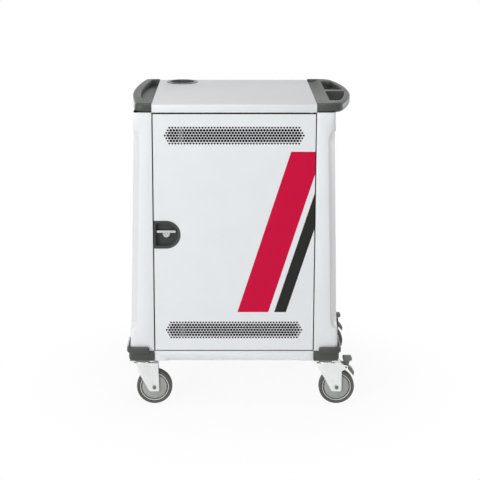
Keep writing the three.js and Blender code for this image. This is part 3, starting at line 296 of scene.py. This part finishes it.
# %% Soften a CAD node
WELD = 1e-6
FLAT_BELOW, ROUND_ABOVE = radians(0.5), radians(40)
CORNERS = ["front_left", "front_right", "rear_left", "rear_right"]
BRAKED = ["front_right", "rear_right"]
# The door stiffener takes the dark grey that paints the shade behind the vent holes.
LOOKS = {"front_door_stiffener": "primer"}
LOOKS.update({f"{corner}_brake_pedal": "pedal_plastic" for corner in BRAKED})
# Caster plates and axles take the darkened zinc that paints the shade at the swivel race.
LOOKS.update({f"{corner}_{part}": "race_zinc" for part in ("caster_plate", "axle") for corner in CORNERS})


def rounded(bm, edges, width, segments=2):
    bmesh.ops.bevel(bm, geom=edges, offset=width * MM, offset_type="OFFSET", segments=segments,
                    profile=0.5, affect="EDGES", clamp_overlap=True, material=-1)


def softened(node, width):
    bm = bmesh.new()
    bm.from_mesh(frame["nodes"][node].data)
    bmesh.ops.remove_doubles(bm, verts=bm.verts, dist=WELD)
    bmesh.ops.dissolve_limit(bm, angle_limit=FLAT_BELOW, verts=bm.verts, edges=bm.edges)
    sharp = [e for e in bm.edges if len(e.link_faces) == 2 and e.calc_face_angle(0) > ROUND_ABOVE]
    rounded(bm, sharp, width)
    put(node + "_finished", bm, node, LOOKS.get(node))


EDGE_WIDTHS = {
    "base_pan": 1.2, "left_side_cover": 1.2, "right_side_cover": 1.2, "deck_panel": 1.2,
    "pen_tray": 2.2, "push_handle": 2.2, "lead_cleat": 1.2, "mains_inlet": 1.0, "lock_lever": 0.9,
    "lock_housing": 0.6, "power_unit": 2.0, "lower_socket_strip": 1.2, "upper_socket_strip": 1.2,
    "lower_divider_rack": 0.6, "upper_divider_rack": 0.6, "front_door_stiffener": 0.8,
    "laptop_shelf": 0.6, "rear_door_panel": 0.6, "rear_lock_housing": 0.6,
}
CORNER_WIDTHS = {"bumper": 2.0, "fork": 0.7, "caster_plate": 0.8, "axle": 0.8}
PEDAL_WIDTH = 1.4
for part, width in CORNER_WIDTHS.items():
    EDGE_WIDTHS.update({f"{corner}_{part}": width for corner in CORNERS})
EDGE_WIDTHS.update({f"{corner}_brake_pedal": PEDAL_WIDTH for corner in BRAKED})
for node, width in EDGE_WIDTHS.items():
    softened(node, width)
print("softened", len(replaced), "nodes")

# %% [markdown]
# ## Turned pieces
# Wheels and the deck's cup are round, so each is a profile spun about an axis. The spin is closed with
# use_merge, and the normals are recalculated because a spin can turn a shape inside out.


# %% Spin a profile
WHEEL_STEPS = 64


def spun(profile, axis, steps):
    bm = bmesh.new()
    across = Vector((1, 0, 0))
    points = [bm.verts.new(across * (r * MM) + axis * (along * MM)) for r, along in profile]
    rim = [bm.edges.new(pair) for pair in zip(points, points[1:])]
    bmesh.ops.spin(bm, geom=points + rim, cent=(0, 0, 0), axis=axis, dvec=(0, 0, 0), angle=2 * pi,
                   steps=steps, use_merge=True, use_duplicate=False)
    bmesh.ops.remove_doubles(bm, verts=bm.verts, dist=WELD)
    bmesh.ops.recalc_face_normals(bm, faces=bm.faces)
    return bm


print("a wheel turns", 360 / WHEEL_STEPS, "degrees at each step")

# %% [markdown]
# A caster's wheel is a moulded hub with a rubber tyre. Each is listed as half a section and mirrored, so
# that both faces match. The pale ring near the hub's edge is a piece of its own, because a piece here takes
# one finish. A dark rubber ring laid in the groove paints the deep shade there.

# %% Wheels
ALONG_Y = Vector((0, 1, 0))
TYRE_HALF = [(51.2, 12.2), (52.6, 14.6), (55.4, 15.6), (57.8, 15.8), (59.8, 14.6), (61.0, 12.2),
             (61.4, 8.5), (61.5, 4.0)]
HUB_HALF = [(5.3, 16.8), (11.0, 16.8), (12.2, 16.2), (13.0, 14.4), (14.2, 13.6), (42.0, 13.0),
            (43.0, 12.4), (43.5, 4.6), (44.0, 4.0), (46.0, 4.0), (46.5, 4.6), (46.8, 13.2),
            (47.6, 13.9), (49.2, 13.9), (49.8, 13.0), (50.2, 8.0), (50.9, 7.6)]
RIM_HALF = [(47.0, 13.8), (47.6, 14.4), (49.4, 14.4), (50.0, 13.8)]
# A ring of dark rubber in the hub's groove, painting the shade deep in the groove.
GROOVE_SHADE_HALF = [(43.7, 5.4), (44.2, 6.0), (45.8, 6.0), (46.3, 5.4)]
WHEEL_PARTS = {"tyre": (TYRE_HALF, "tyre", None, True), "wheel_hub": (HUB_HALF, "wheel_hub", None, True),
               "wheel_rim": (RIM_HALF, "wheel_hub", "pale_plastic", False),
               "wheel_groove": (GROOVE_SHADE_HALF, "tyre", None, False)}


def both_faces(half):
    return [(r, -y) for r, y in half] + half[::-1] + [(half[0][0], -half[0][1])]


def centre_of(node):
    low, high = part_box(node)
    return (low + high) / 2


for corner in CORNERS:
    for part, (half, stands_for, look, stands_in) in WHEEL_PARTS.items():
        node = f"{corner}_{stands_for}"
        wheel = spun(both_faces(half), ALONG_Y, WHEEL_STEPS)
        bmesh.ops.translate(wheel, verts=wheel.verts, vec=centre_of(node))
        put(f"{corner}_{part}_finished", wheel, node, look, stands_in)
print("wheels:", len(CORNERS))

# %% [markdown]
# The cup in the deck's rear corner is a moulded bowl with a rim round its mouth. Its profile runs out along
# the foot, up the outside, over the rim and down the inside, so that one spin makes the whole wall.

# %% The deck's cup
ALONG_Z = Vector((0, 0, 1))
CUP_STEPS = 72
CUP_PROFILE = [(0, 0), (30.5, 0), (32.6, 1.2), (46.9, 78.3), (56.8, 78.3), (57.0, 79.3), (56.0, 80.2),
               (47.5, 80.2), (45.6, 79.4), (44.4, 77.4), (31.6, 4.9), (29.4, 2.7), (0, 2.5)]
cup = spun(CUP_PROFILE, ALONG_Z, CUP_STEPS)
low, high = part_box("deck_cup")
bmesh.ops.translate(cup, verts=cup.verts, vec=((low.x + high.x) / 2, (low.y + high.y) / 2, low.z))
put("deck_cup_finished", cup, "deck_cup", "cup_moulding")
print("cup", round((high.z - low.z) / MM, 1), "mm deep")

# %% [markdown]
# ## The vented door
# The real door has two bands of small punched holes in staggered rows. From the middle row outwards each
# row is one hole shorter, and the holes round the edge of a band are smaller. A boolean per hole would be
# slow, so the outline and all the holes are drawn as loops in one plane, filled at once and pulled back to
# the sheet's thickness.


# %% Loops in one plane
HOLE_SIDES = 12


def loop(bm, points, y):
    ring = [bm.verts.new((x, y, z)) for x, z in points]
    return [bm.edges.new((a, b)) for a, b in zip(ring, ring[1:] + ring[:1])]


def circle(x, z, radius, sides):
    turns = [2 * pi * i / sides for i in range(sides)]
    return [(x + radius * cos(t), z + radius * sin(t)) for t in turns]


def thickened(bm, depth):
    pulled = bmesh.ops.extrude_face_region(bm, geom=bm.faces[:])["geom"]
    bmesh.ops.translate(bm, vec=(0, depth, 0), verts=[v for v in pulled if isinstance(v, bmesh.types.BMVert)])
    bmesh.ops.recalc_face_normals(bm, faces=bm.faces)


print("a hole has", HOLE_SIDES, "sides")

# %% Vent holes
VENT_ROWS = (44, 45, 46, 47, 46, 45, 44)
VENT_PITCH, VENT_ROW_PITCH = 9.98, 8.85
HOLE_RADIUS, RING_RADIUS = 4.6, 3.5
VENT_FROM_END = 73.0
door_low, door_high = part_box("front_door_panel")
door_mid = (door_low.x + door_high.x) / 2


def vent_holes(middle_z):
    for row, count in enumerate(VENT_ROWS):
        z = middle_z + (row - len(VENT_ROWS) // 2) * VENT_ROW_PITCH * MM
        for i in range(count):
            x = door_mid + (i - (count - 1) / 2) * VENT_PITCH * MM
            in_ring = row in (0, len(VENT_ROWS) - 1) or i in (0, count - 1)
            yield circle(x, z, (RING_RADIUS if in_ring else HOLE_RADIUS) * MM, HOLE_SIDES)


print("vent holes:", 2 * sum(VENT_ROWS))

# %% [markdown]
# The lock's cup sits at the door's free edge, so its opening is a D, straight beside the edge and round on
# the other side. One function draws that outline at any inset, for the opening and for the cup itself.

# %% The lock's opening
SHEET = 1.2
LOCK_STEPS, LOCK_HOLE_IN = 40, 5.7
cup_low, cup_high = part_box("lock_cup")
lock_radius = (cup_high.z - cup_low.z) / 2
lock_z = cup_low.z + lock_radius
lock_x = cup_high.x - lock_radius


def lock_outline(from_edge, from_rim):
    radius, edge = lock_radius - from_rim * MM, door_low.x + from_edge * MM
    arc = [-pi / 2 + pi * i / LOCK_STEPS for i in range(LOCK_STEPS + 1)]
    corners = [(edge, lock_z + radius), (edge, lock_z - radius)]
    return corners + [(lock_x + radius * cos(t), lock_z + radius * sin(t)) for t in arc]


lock_arc = lock_radius - LOCK_HOLE_IN * MM
lock_hole = lock_outline(SHEET, LOCK_HOLE_IN)
print("opening", round(2 * lock_arc / MM, 1), "mm high")

# %% [markdown]
# The skin stops a little short of the solid at its head and foot, so that the gaps there are as wide as
# in the photograph.

# %% Door skin
HEAD_CLEARANCE, FOOT_CLEARANCE = 1.4, 1.2
foot, head = door_low.z + FOOT_CLEARANCE * MM, door_high.z - HEAD_CLEARANCE * MM
outline = [(door_low.x, foot), (door_high.x, foot), (door_high.x, head), (door_low.x, head)]
door = bmesh.new()
edges = loop(door, outline, door_low.y)
edges += loop(door, lock_hole, door_low.y)
for middle_z in (door_low.z + VENT_FROM_END * MM, door_high.z - VENT_FROM_END * MM):
    for hole in vent_holes(middle_z):
        edges += loop(door, hole, door_low.y)
bmesh.ops.triangle_fill(door, use_beauty=True, use_dissolve=False, edges=edges)
thickened(door, SHEET * MM)
print("door skin:", len(door.faces), "faces")

# %% [markdown]
# A sheet door is stiffened by folding its edges back and then in, which leaves a lip behind. A bent sheet
# could be modelled in one piece, but the radius of these folds is too small to see, so each face is a thin
# block. The lips down the sides are in two lengths, because the lock's cup needs room.


# %% Door edges
def block(bm, low, high):
    size, middle = Vector(high) - Vector(low), (Vector(low) + Vector(high)) / 2
    matrix = Matrix.Translation(middle) @ Matrix.Diagonal((*size, 1))
    bmesh.ops.create_cube(bm, size=1, matrix=matrix)


LIP = 12.0
fold, back = door_low.y + SHEET * MM, door_high.y
left, right = door_low.x, door_high.x
sheet, lip = SHEET * MM, LIP * MM
for x0, x1, edge0, edge1 in ((left, left + sheet, left + sheet, left + lip),
                             (right - sheet, right, right - lip, right - sheet)):
    block(door, (x0, fold, foot), (x1, back, head))
    block(door, (edge0, back - sheet, foot + sheet), (edge1, back, lock_z - lock_arc))
    block(door, (edge0, back - sheet, lock_z + lock_arc), (edge1, back, head - sheet))
for z0, z1, edge0, edge1 in ((foot, foot + sheet, foot + sheet, foot + lip),
                             (head - sheet, head, head - lip, head - sheet)):
    block(door, (left + sheet, fold, z0), (right - sheet, back, z1))
    block(door, (left + lip, back - sheet, edge0), (right - lip, back, edge1))
put("front_door_panel_finished", door, "front_door_panel", "printed_door")
print("door edges folded back", round((back - fold) / MM, 1), "mm")

# %% [markdown]
# ## The lock's cup
# The cup is a D-shaped moulding let into the door: a thin flange on the face and a well for the fingers.
# Its sections, from the back to the floor of the well, are one outline at several insets and depths.
# Neighbours at one depth are filled as a flat ring, because a bridge between two loops in one plane can
# pair the wrong points. The others are bridged.

# %% Lock cup
LOCK_SECTIONS = [(2.9, 6.6, 20.5), (2.3, 6.0, 19.9), (2.3, 6.0, -0.3), (0.0, 0.0, -0.3),
                 (0.0, 0.0, -1.1), (0.4, 0.4, -1.5), (4.2, 8.2, -1.5), (5.0, 9.0, -0.9),
                 (5.5, 9.5, 16.8), (6.8, 10.8, 18.0)]
lock_cup = bmesh.new()
rims = [loop(lock_cup, lock_outline(from_edge, from_rim), door_low.y + depth * MM)
        for from_edge, from_rim, depth in LOCK_SECTIONS]
for i, (here, there) in enumerate(zip(LOCK_SECTIONS, LOCK_SECTIONS[1:])):
    pair = rims[i] + rims[i + 1]
    if here[2] == there[2]:
        bmesh.ops.triangle_fill(lock_cup, use_beauty=True, use_dissolve=False, edges=pair)
    else:
        bmesh.ops.bridge_loops(lock_cup, edges=pair)
for end in (rims[0], rims[-1]):
    bmesh.ops.edgeloop_fill(lock_cup, edges=end)
bmesh.ops.recalc_face_normals(lock_cup, faces=lock_cup.faces)
put("lock_cup_finished", lock_cup, "lock_cup", "lock_moulding")
print("lock cup", round(2 * lock_radius / MM), "mm high")

# %% [markdown]
# The lever turns about the key barrel. A turned ring, spun as the wheels are, makes its hub look round, and
# it rides on the lever so that it turns with it.

# %% Ring on the lever's hub
HUB_RING = [(5.7, 6.6), (5.7, 0.2), (6.1, -0.2), (10.4, -0.2), (11.3, 0.7), (11.3, 6.6), (5.7, 6.6)]
hub_ring = spun(HUB_RING, ALONG_Y, WHEEL_STEPS)
barrel_low, barrel_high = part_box("key_barrel")
hub_at = (barrel_low + barrel_high) / 2
hub_at.y = barrel_low.y
bmesh.ops.translate(hub_ring, verts=hub_ring.verts, vec=hub_at)
put("lock_lever_hub_ring", hub_ring, "lock_lever", stands_in=False)
print("hub ring", 2 * max(r for r, along in HUB_RING), "mm across")

# %% [markdown]
# ## Door seal
# A strip of black foam closes the gap behind each edge of the door. It sits on the inner walls'
# flanges, under the deck and on the base, just behind the space that the door's hinge edge sweeps.

# %% Door seal
SEAL_W, SEAL_T = 15.0 * MM, 2.1 * MM
SEAL_DEEPER, SEAL_ROUND = SEAL_T * 3, 0.8
deck_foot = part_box("deck_panel")[0].z
wall_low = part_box("left_inner_wall")[0]
wall_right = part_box("right_inner_wall")[1].x
base_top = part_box("base_pan")[1].z
gap = 0.3 * MM
face, behind = wall_low.y - SEAL_T, wall_low.y - gap
seal = bmesh.new()
for x0, x1 in ((wall_low.x + gap, wall_low.x + SEAL_W), (wall_right - SEAL_W, wall_right - gap)):
    block(seal, (x0, face, base_top + gap), (x1, behind, deck_foot - gap))
for z0, z1 in ((base_top + gap, base_top + SEAL_W), (deck_foot - SEAL_W, deck_foot - gap)):
    block(seal, (wall_low.x + SEAL_W + gap, face, z0), (wall_right - SEAL_W - gap, behind + SEAL_DEEPER, z1))
rounded(seal, seal.edges[:], SEAL_ROUND)
put("door_seal", seal, "base_pan", "black_plastic", stands_in=False)
print("seal", round(SEAL_W / MM), "mm wide")

# %% [markdown]
# Thin black strips on the door's top and lock-side folds, and one on the sill, are painted shade that makes
# the
# gaps read as dark lines: the camera looks into them at an angle, so it sees the folds and not the seal
# behind.

# %% Painted shade in the gaps
HEAD_SHADE_STRIP, SIDE_SHADE_STRIP, SILL_SHADE_STRIP = 4.0 * MM, 2.6 * MM, 2.4 * MM
SET_BACK, TOUCH, STRIP_ROUND = 0.2 * MM, 0.05 * MM, 0.4
front = door_low.y + SET_BACK
strips = bmesh.new()
# Black strips on the folds and the sill paint the shade inside the door's gaps.
block(strips, (left + sheet, front, head + TOUCH), (right - sheet, back, head + HEAD_SHADE_STRIP))
for z0, z1 in ((foot, cup_low.z - sheet), (cup_high.z + sheet, head)):
    block(strips, (left - SIDE_SHADE_STRIP, front, z0), (left - TOUCH, back, z1))
sill_shade = bmesh.new()
block(sill_shade, (left, front, base_top + TOUCH), (right, face - gap, base_top + SILL_SHADE_STRIP))
for name, bm, node in (("door_edge_strips", strips, "front_door_panel"), ("door_sill_shade", sill_shade, "base_pan")):
    rounded(bm, bm.edges[:], STRIP_ROUND)
    put(name, bm, node, "black_plastic", stands_in=False)
print("strips", round(HEAD_SHADE_STRIP / MM, 1), "mm high in a gap of", round((deck_foot - head) / MM, 1), "mm")

# %% [markdown]
# ## Under the push handle
# The photograph shows no light through the grip openings. So the rib between them goes on a little below
# the moulding as a web, and its depth is a guess.

# %% Web under the rib
RIB_HALF, WEB_DROP = 17.0 * MM, 7.0 * MM
WEB_IN, WEB_OUT, WEB_ROUND = 24.0 * MM, 16.0 * MM, 3.0
handle_low, handle_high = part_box("push_handle")
cover_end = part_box("right_side_cover")[1].x
web = bmesh.new()
block(web, (cover_end - WEB_IN, -RIB_HALF, handle_low.z - WEB_DROP),
      (handle_high.x - WEB_OUT, RIB_HALF, handle_low.z + gap))
rounded(web, web.edges[:], WEB_ROUND, segments=3)
put("push_handle_web", web, "push_handle", stands_in=False)
print("web", round(WEB_DROP / MM), "mm deep")

# %% [markdown]
# ## Small fittings
# Four hex bolts hold each caster's plate. A bolt's head is a six-sided cylinder with a rounded lower rim.
# The four of a caster share one mesh, because none of them moves on its own.


# %% Caster bolts
BOLT_SPREAD, BOLT_ACROSS, BOLT_H = 33 * MM, 13 * MM, 5.5 * MM
FLATS_TO_CORNER, BOLT_ROUND = 0.577, 0.9
PLATE_T = 4.5 * MM


def hex_bolt(bm, middle):
    radius, down = BOLT_ACROSS * FLATS_TO_CORNER, Vector((0, 0, -BOLT_H / 2))
    bolt = bmesh.ops.create_cone(bm, cap_ends=True, segments=6, radius1=radius, radius2=radius, depth=BOLT_H,
                                 matrix=Matrix.Translation(middle + down))
    rim = {e for v in bolt["verts"] for e in v.link_edges if v.co.z < middle.z - BOLT_H / 2}
    rounded(bm, list(rim), BOLT_ROUND)


for corner in CORNERS:
    low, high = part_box(f"{corner}_caster_plate")
    bolts = bmesh.new()
    for dx in (-BOLT_SPREAD, BOLT_SPREAD):
        for dy in (-BOLT_SPREAD, BOLT_SPREAD):
            hex_bolt(bolts, Vector(((low.x + high.x) / 2 + dx, (low.y + high.y) / 2 + dy, high.z - PLATE_T)))
    put(f"{corner}_caster_bolts", bolts, f"{corner}_caster_plate", stands_in=False)
print("bolts:", 4 * len(CORNERS))

# %% [markdown]
# Each socket in the two strips has a pale insert with three pin holes. It is a flat plate with holes, as the
# door's skin is, so its outline and holes are drawn as loops and filled in the same way.

# %% Socket inserts
SOCKETS, INSERT, INSERT_T, SOCKET_DEPTH = 10, 30 * MM, 2.4 * MM, 6 * MM
SQUARE = ((-1, -1), (1, -1), (1, 1), (-1, 1))
PIN_HOLES = ((0, 7.5, 2.4), (-6.5, -4, 2.0), (6.5, -4, 2.0))
for tier in ("lower", "upper"):
    node = f"{tier}_socket_strip"
    low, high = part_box(node)
    pitch, z = (high.x - low.x) / SOCKETS, (low.z + high.z) / 2
    insert_face = high.y - SOCKET_DEPTH + INSERT_T
    inserts = bmesh.new()
    edges = []
    for i in range(SOCKETS):
        x = low.x + (i + 0.5) * pitch
        edges += loop(inserts, [(x + INSERT / 2 * sx, z + INSERT / 2 * sz) for sx, sz in SQUARE], insert_face)
        for dx, dz, radius in PIN_HOLES:
            pin = circle(x + dx * MM, z + dz * MM, radius * MM, HOLE_SIDES)
            edges += loop(inserts, pin, insert_face)
    bmesh.ops.triangle_fill(inserts, use_beauty=True, use_dissolve=False, edges=edges)
    thickened(inserts, gap - INSERT_T)
    put(f"{tier}_socket_inserts", inserts, node, "white_moulding", stands_in=False)
print("sockets:", 2 * SOCKETS)

# %% [markdown]
# The rear door's slots are louvres: a pressed hood over each lets warm air out and keeps dust off. A hood is
# a quarter-round section that is repeated along the slot and swells from its flat ends to its full depth.
# The sections are bridged into one shell, and solidify gives the shell the thickness of a sheet.

# %% Louvre hoods
LOUVRE_FROM_SIDE, LOUVRE_PITCH, LOUVRE_COUNT = 119 * MM, 22 * MM, 5
HOOD_H, HOOD_OUT, HOOD_END = 11 * MM, 4.5 * MM, 16 * MM
HOOD_RISE, HOOD_SHEET, HOOD_GAP, HOOD_STEPS = 0.55, 1.0 * MM, 0.2 * MM, 4
END_SWELLS = ((0.0, 0.05), (0.4, 0.75), (1.0, 1.0))
low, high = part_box("rear_door_panel")
hood_left, hood_right = low.x + LOUVRE_FROM_SIDE, high.x - LOUVRE_FROM_SIDE
swells = [(hood_left + HOOD_END * along, swell) for along, swell in END_SWELLS]
swells += [(hood_right - HOOD_END * along, swell) for along, swell in END_SWELLS[::-1]]
turns = [pi / 2 * i / HOOD_STEPS for i in range(HOOD_STEPS + 1)]
hoods = bmesh.new()
for middle_z in (low.z + VENT_FROM_END * MM, high.z - VENT_FROM_END * MM):
    for i in range(LOUVRE_COUNT):
        top = middle_z + (i - (LOUVRE_COUNT - 1) / 2) * LOUVRE_PITCH + HOOD_H * HOOD_RISE
        rows = []
        for x, swell in swells:
            section = [hoods.verts.new((x, high.y + HOOD_GAP + HOOD_OUT * swell * sin(t),
                                        top - HOOD_H * (1 - cos(t)))) for t in turns]
            rows.append([hoods.edges.new(pair) for pair in zip(section, section[1:])])
        for first, second in zip(rows, rows[1:]):
            bmesh.ops.bridge_loops(hoods, edges=first + second)
bmesh.ops.recalc_face_normals(hoods, faces=hoods.faces)
bmesh.ops.solidify(hoods, geom=hoods.faces[:], thickness=HOOD_SHEET)
put("rear_louvre_hoods", hoods, "rear_door_panel", stands_in=False)
print("hoods:", 2 * LOUVRE_COUNT)

# %% [markdown]
# ## Finishes on the CAD nodes that stay
# What is left of the CAD, such as pins and walls, is hidden or plain, so it keeps its shape and only
# takes the finish of its material slot.

# %% Finish the rest
for node, obj in frame["nodes"].items():
    obj.data.materials.clear()
    obj.data.materials.append(finishes[slot_of[node]])
print("kept", len(frame["nodes"]) - len(replaced), "CAD nodes, replaced", len(replaced))

# %% [markdown]
# ## Floor and light
# The photograph is a studio shot on white. A pale floor catches the cart's soft shadow near the wheels
# and fades to plain white further out, where the camera sees white in place of the lit floor.

# %% Floor
FLOOR_HALF = 30
FLOOR_COLOUR, FLOOR_ROUGH = (0.96, 0.96, 0.96, 1), 0.9
HAZE, SHADOW_FADE = 0.9, (0.35, 0.9)
PLAIN_WHITE = (1, 1, 1, 1)


def directly_seen(tree):
    rays = tree.nodes.new("ShaderNodeLightPath").outputs
    camera_ray, glossy, through = (Tone(tree, rays[f"Is {kind} Ray"])
                                   for kind in ("Camera", "Glossy", "Transmission"))
    return camera_ray + glossy + through


floor_bm = bmesh.new()
bmesh.ops.create_grid(floor_bm, x_segments=1, y_segments=1, size=FLOOR_HALF)
floor_mesh = bpy.data.meshes.new("floor")
floor_bm.to_mesh(floor_mesh)
floor_bm.free()
floor = bpy.data.objects.new("floor", floor_mesh)
bpy.context.scene.collection.objects.link(floor)
floor_material = bpy.data.materials.new("floor")
floor_material.use_nodes = True
tree = floor_material.node_tree
where = Tone(tree, tree.nodes.new("ShaderNodeTexCoord").outputs["Object"])
away = where.node("ShaderNodeVectorMath", {"operation": "LENGTH"}, {0: where}, 1).spread(*SHADOW_FADE)
white = where.node("ShaderNodeEmission", {}, {"Color": PLAIN_WHITE, "Strength": 1.0})
floor_shader = tree.nodes["Principled BSDF"]
floor_shader.inputs["Base Color"].default_value = FLOOR_COLOUR
floor_shader.inputs["Roughness"].default_value = FLOOR_ROUGH
lit = Tone(tree, floor_shader.outputs[0])
factor = directly_seen(tree) * (away * (1 - HAZE) + HAZE)
mixed = where.node("ShaderNodeMixShader", {}, {0: factor, 1: lit, 2: white})
where.feed(tree.nodes["Material Output"].inputs["Surface"], mixed)
floor_mesh.materials.append(floor_material)
print("floor", round(floor.dimensions.x, 1), "m across")

# %% [markdown]
# The two lamps in front stand only a little higher than the deck, so they graze it, and it stays darker
# than the front. The lamp overhead is weaker than the main one for the same reason. The lamps behind stand
# lower than the deck, because the deck would mirror a higher one. The world is plain white to the camera
# and in reflections, but it lights the cart weakly, so that shadows keep their form.

# %% Lamps and world
AMBIENT = 0.34
LAMP_AIM = Vector((0, 0, 0.6))
world = bpy.data.worlds.new("studio")
bpy.context.scene.world = world
world.use_nodes = True
background = world.node_tree.nodes["Background"]
strength = directly_seen(world.node_tree) * (1 - AMBIENT) + AMBIENT
strength.feed(background.inputs["Strength"], strength)
background.inputs["Color"].default_value = PLAIN_WHITE
LAMPS = {
    "key": ((-3.0, -4.2, 1.8), 2.4, 116),
    "fill": ((2.4, -4.6, 1.4), 2.4, 8),
    "top": ((-0.2, -1.4, 4.2), 2.2, 34),
    "rear_left": ((-2.2, 4.4, 0.8), 1.5, 42),
    "rear_right": ((3.4, 3.0, 0.9), 1.6, 36),
}
for name, (place, size, power) in LAMPS.items():
    lamp_data = bpy.data.lights.new(name, "AREA")
    lamp_data.shape = "DISK"
    lamp_data.size = size
    lamp_data.energy = power
    lamp = bpy.data.objects.new(name, lamp_data)
    lamp.location = place
    lamp.rotation_euler = (LAMP_AIM - Vector(place)).to_track_quat("-Z", "Y").to_euler()
    bpy.context.scene.collection.objects.link(lamp)
print("lamps:", ", ".join(LAMPS))

# %% [markdown]
# ## Sizes
# Dressing a model must not change its size.
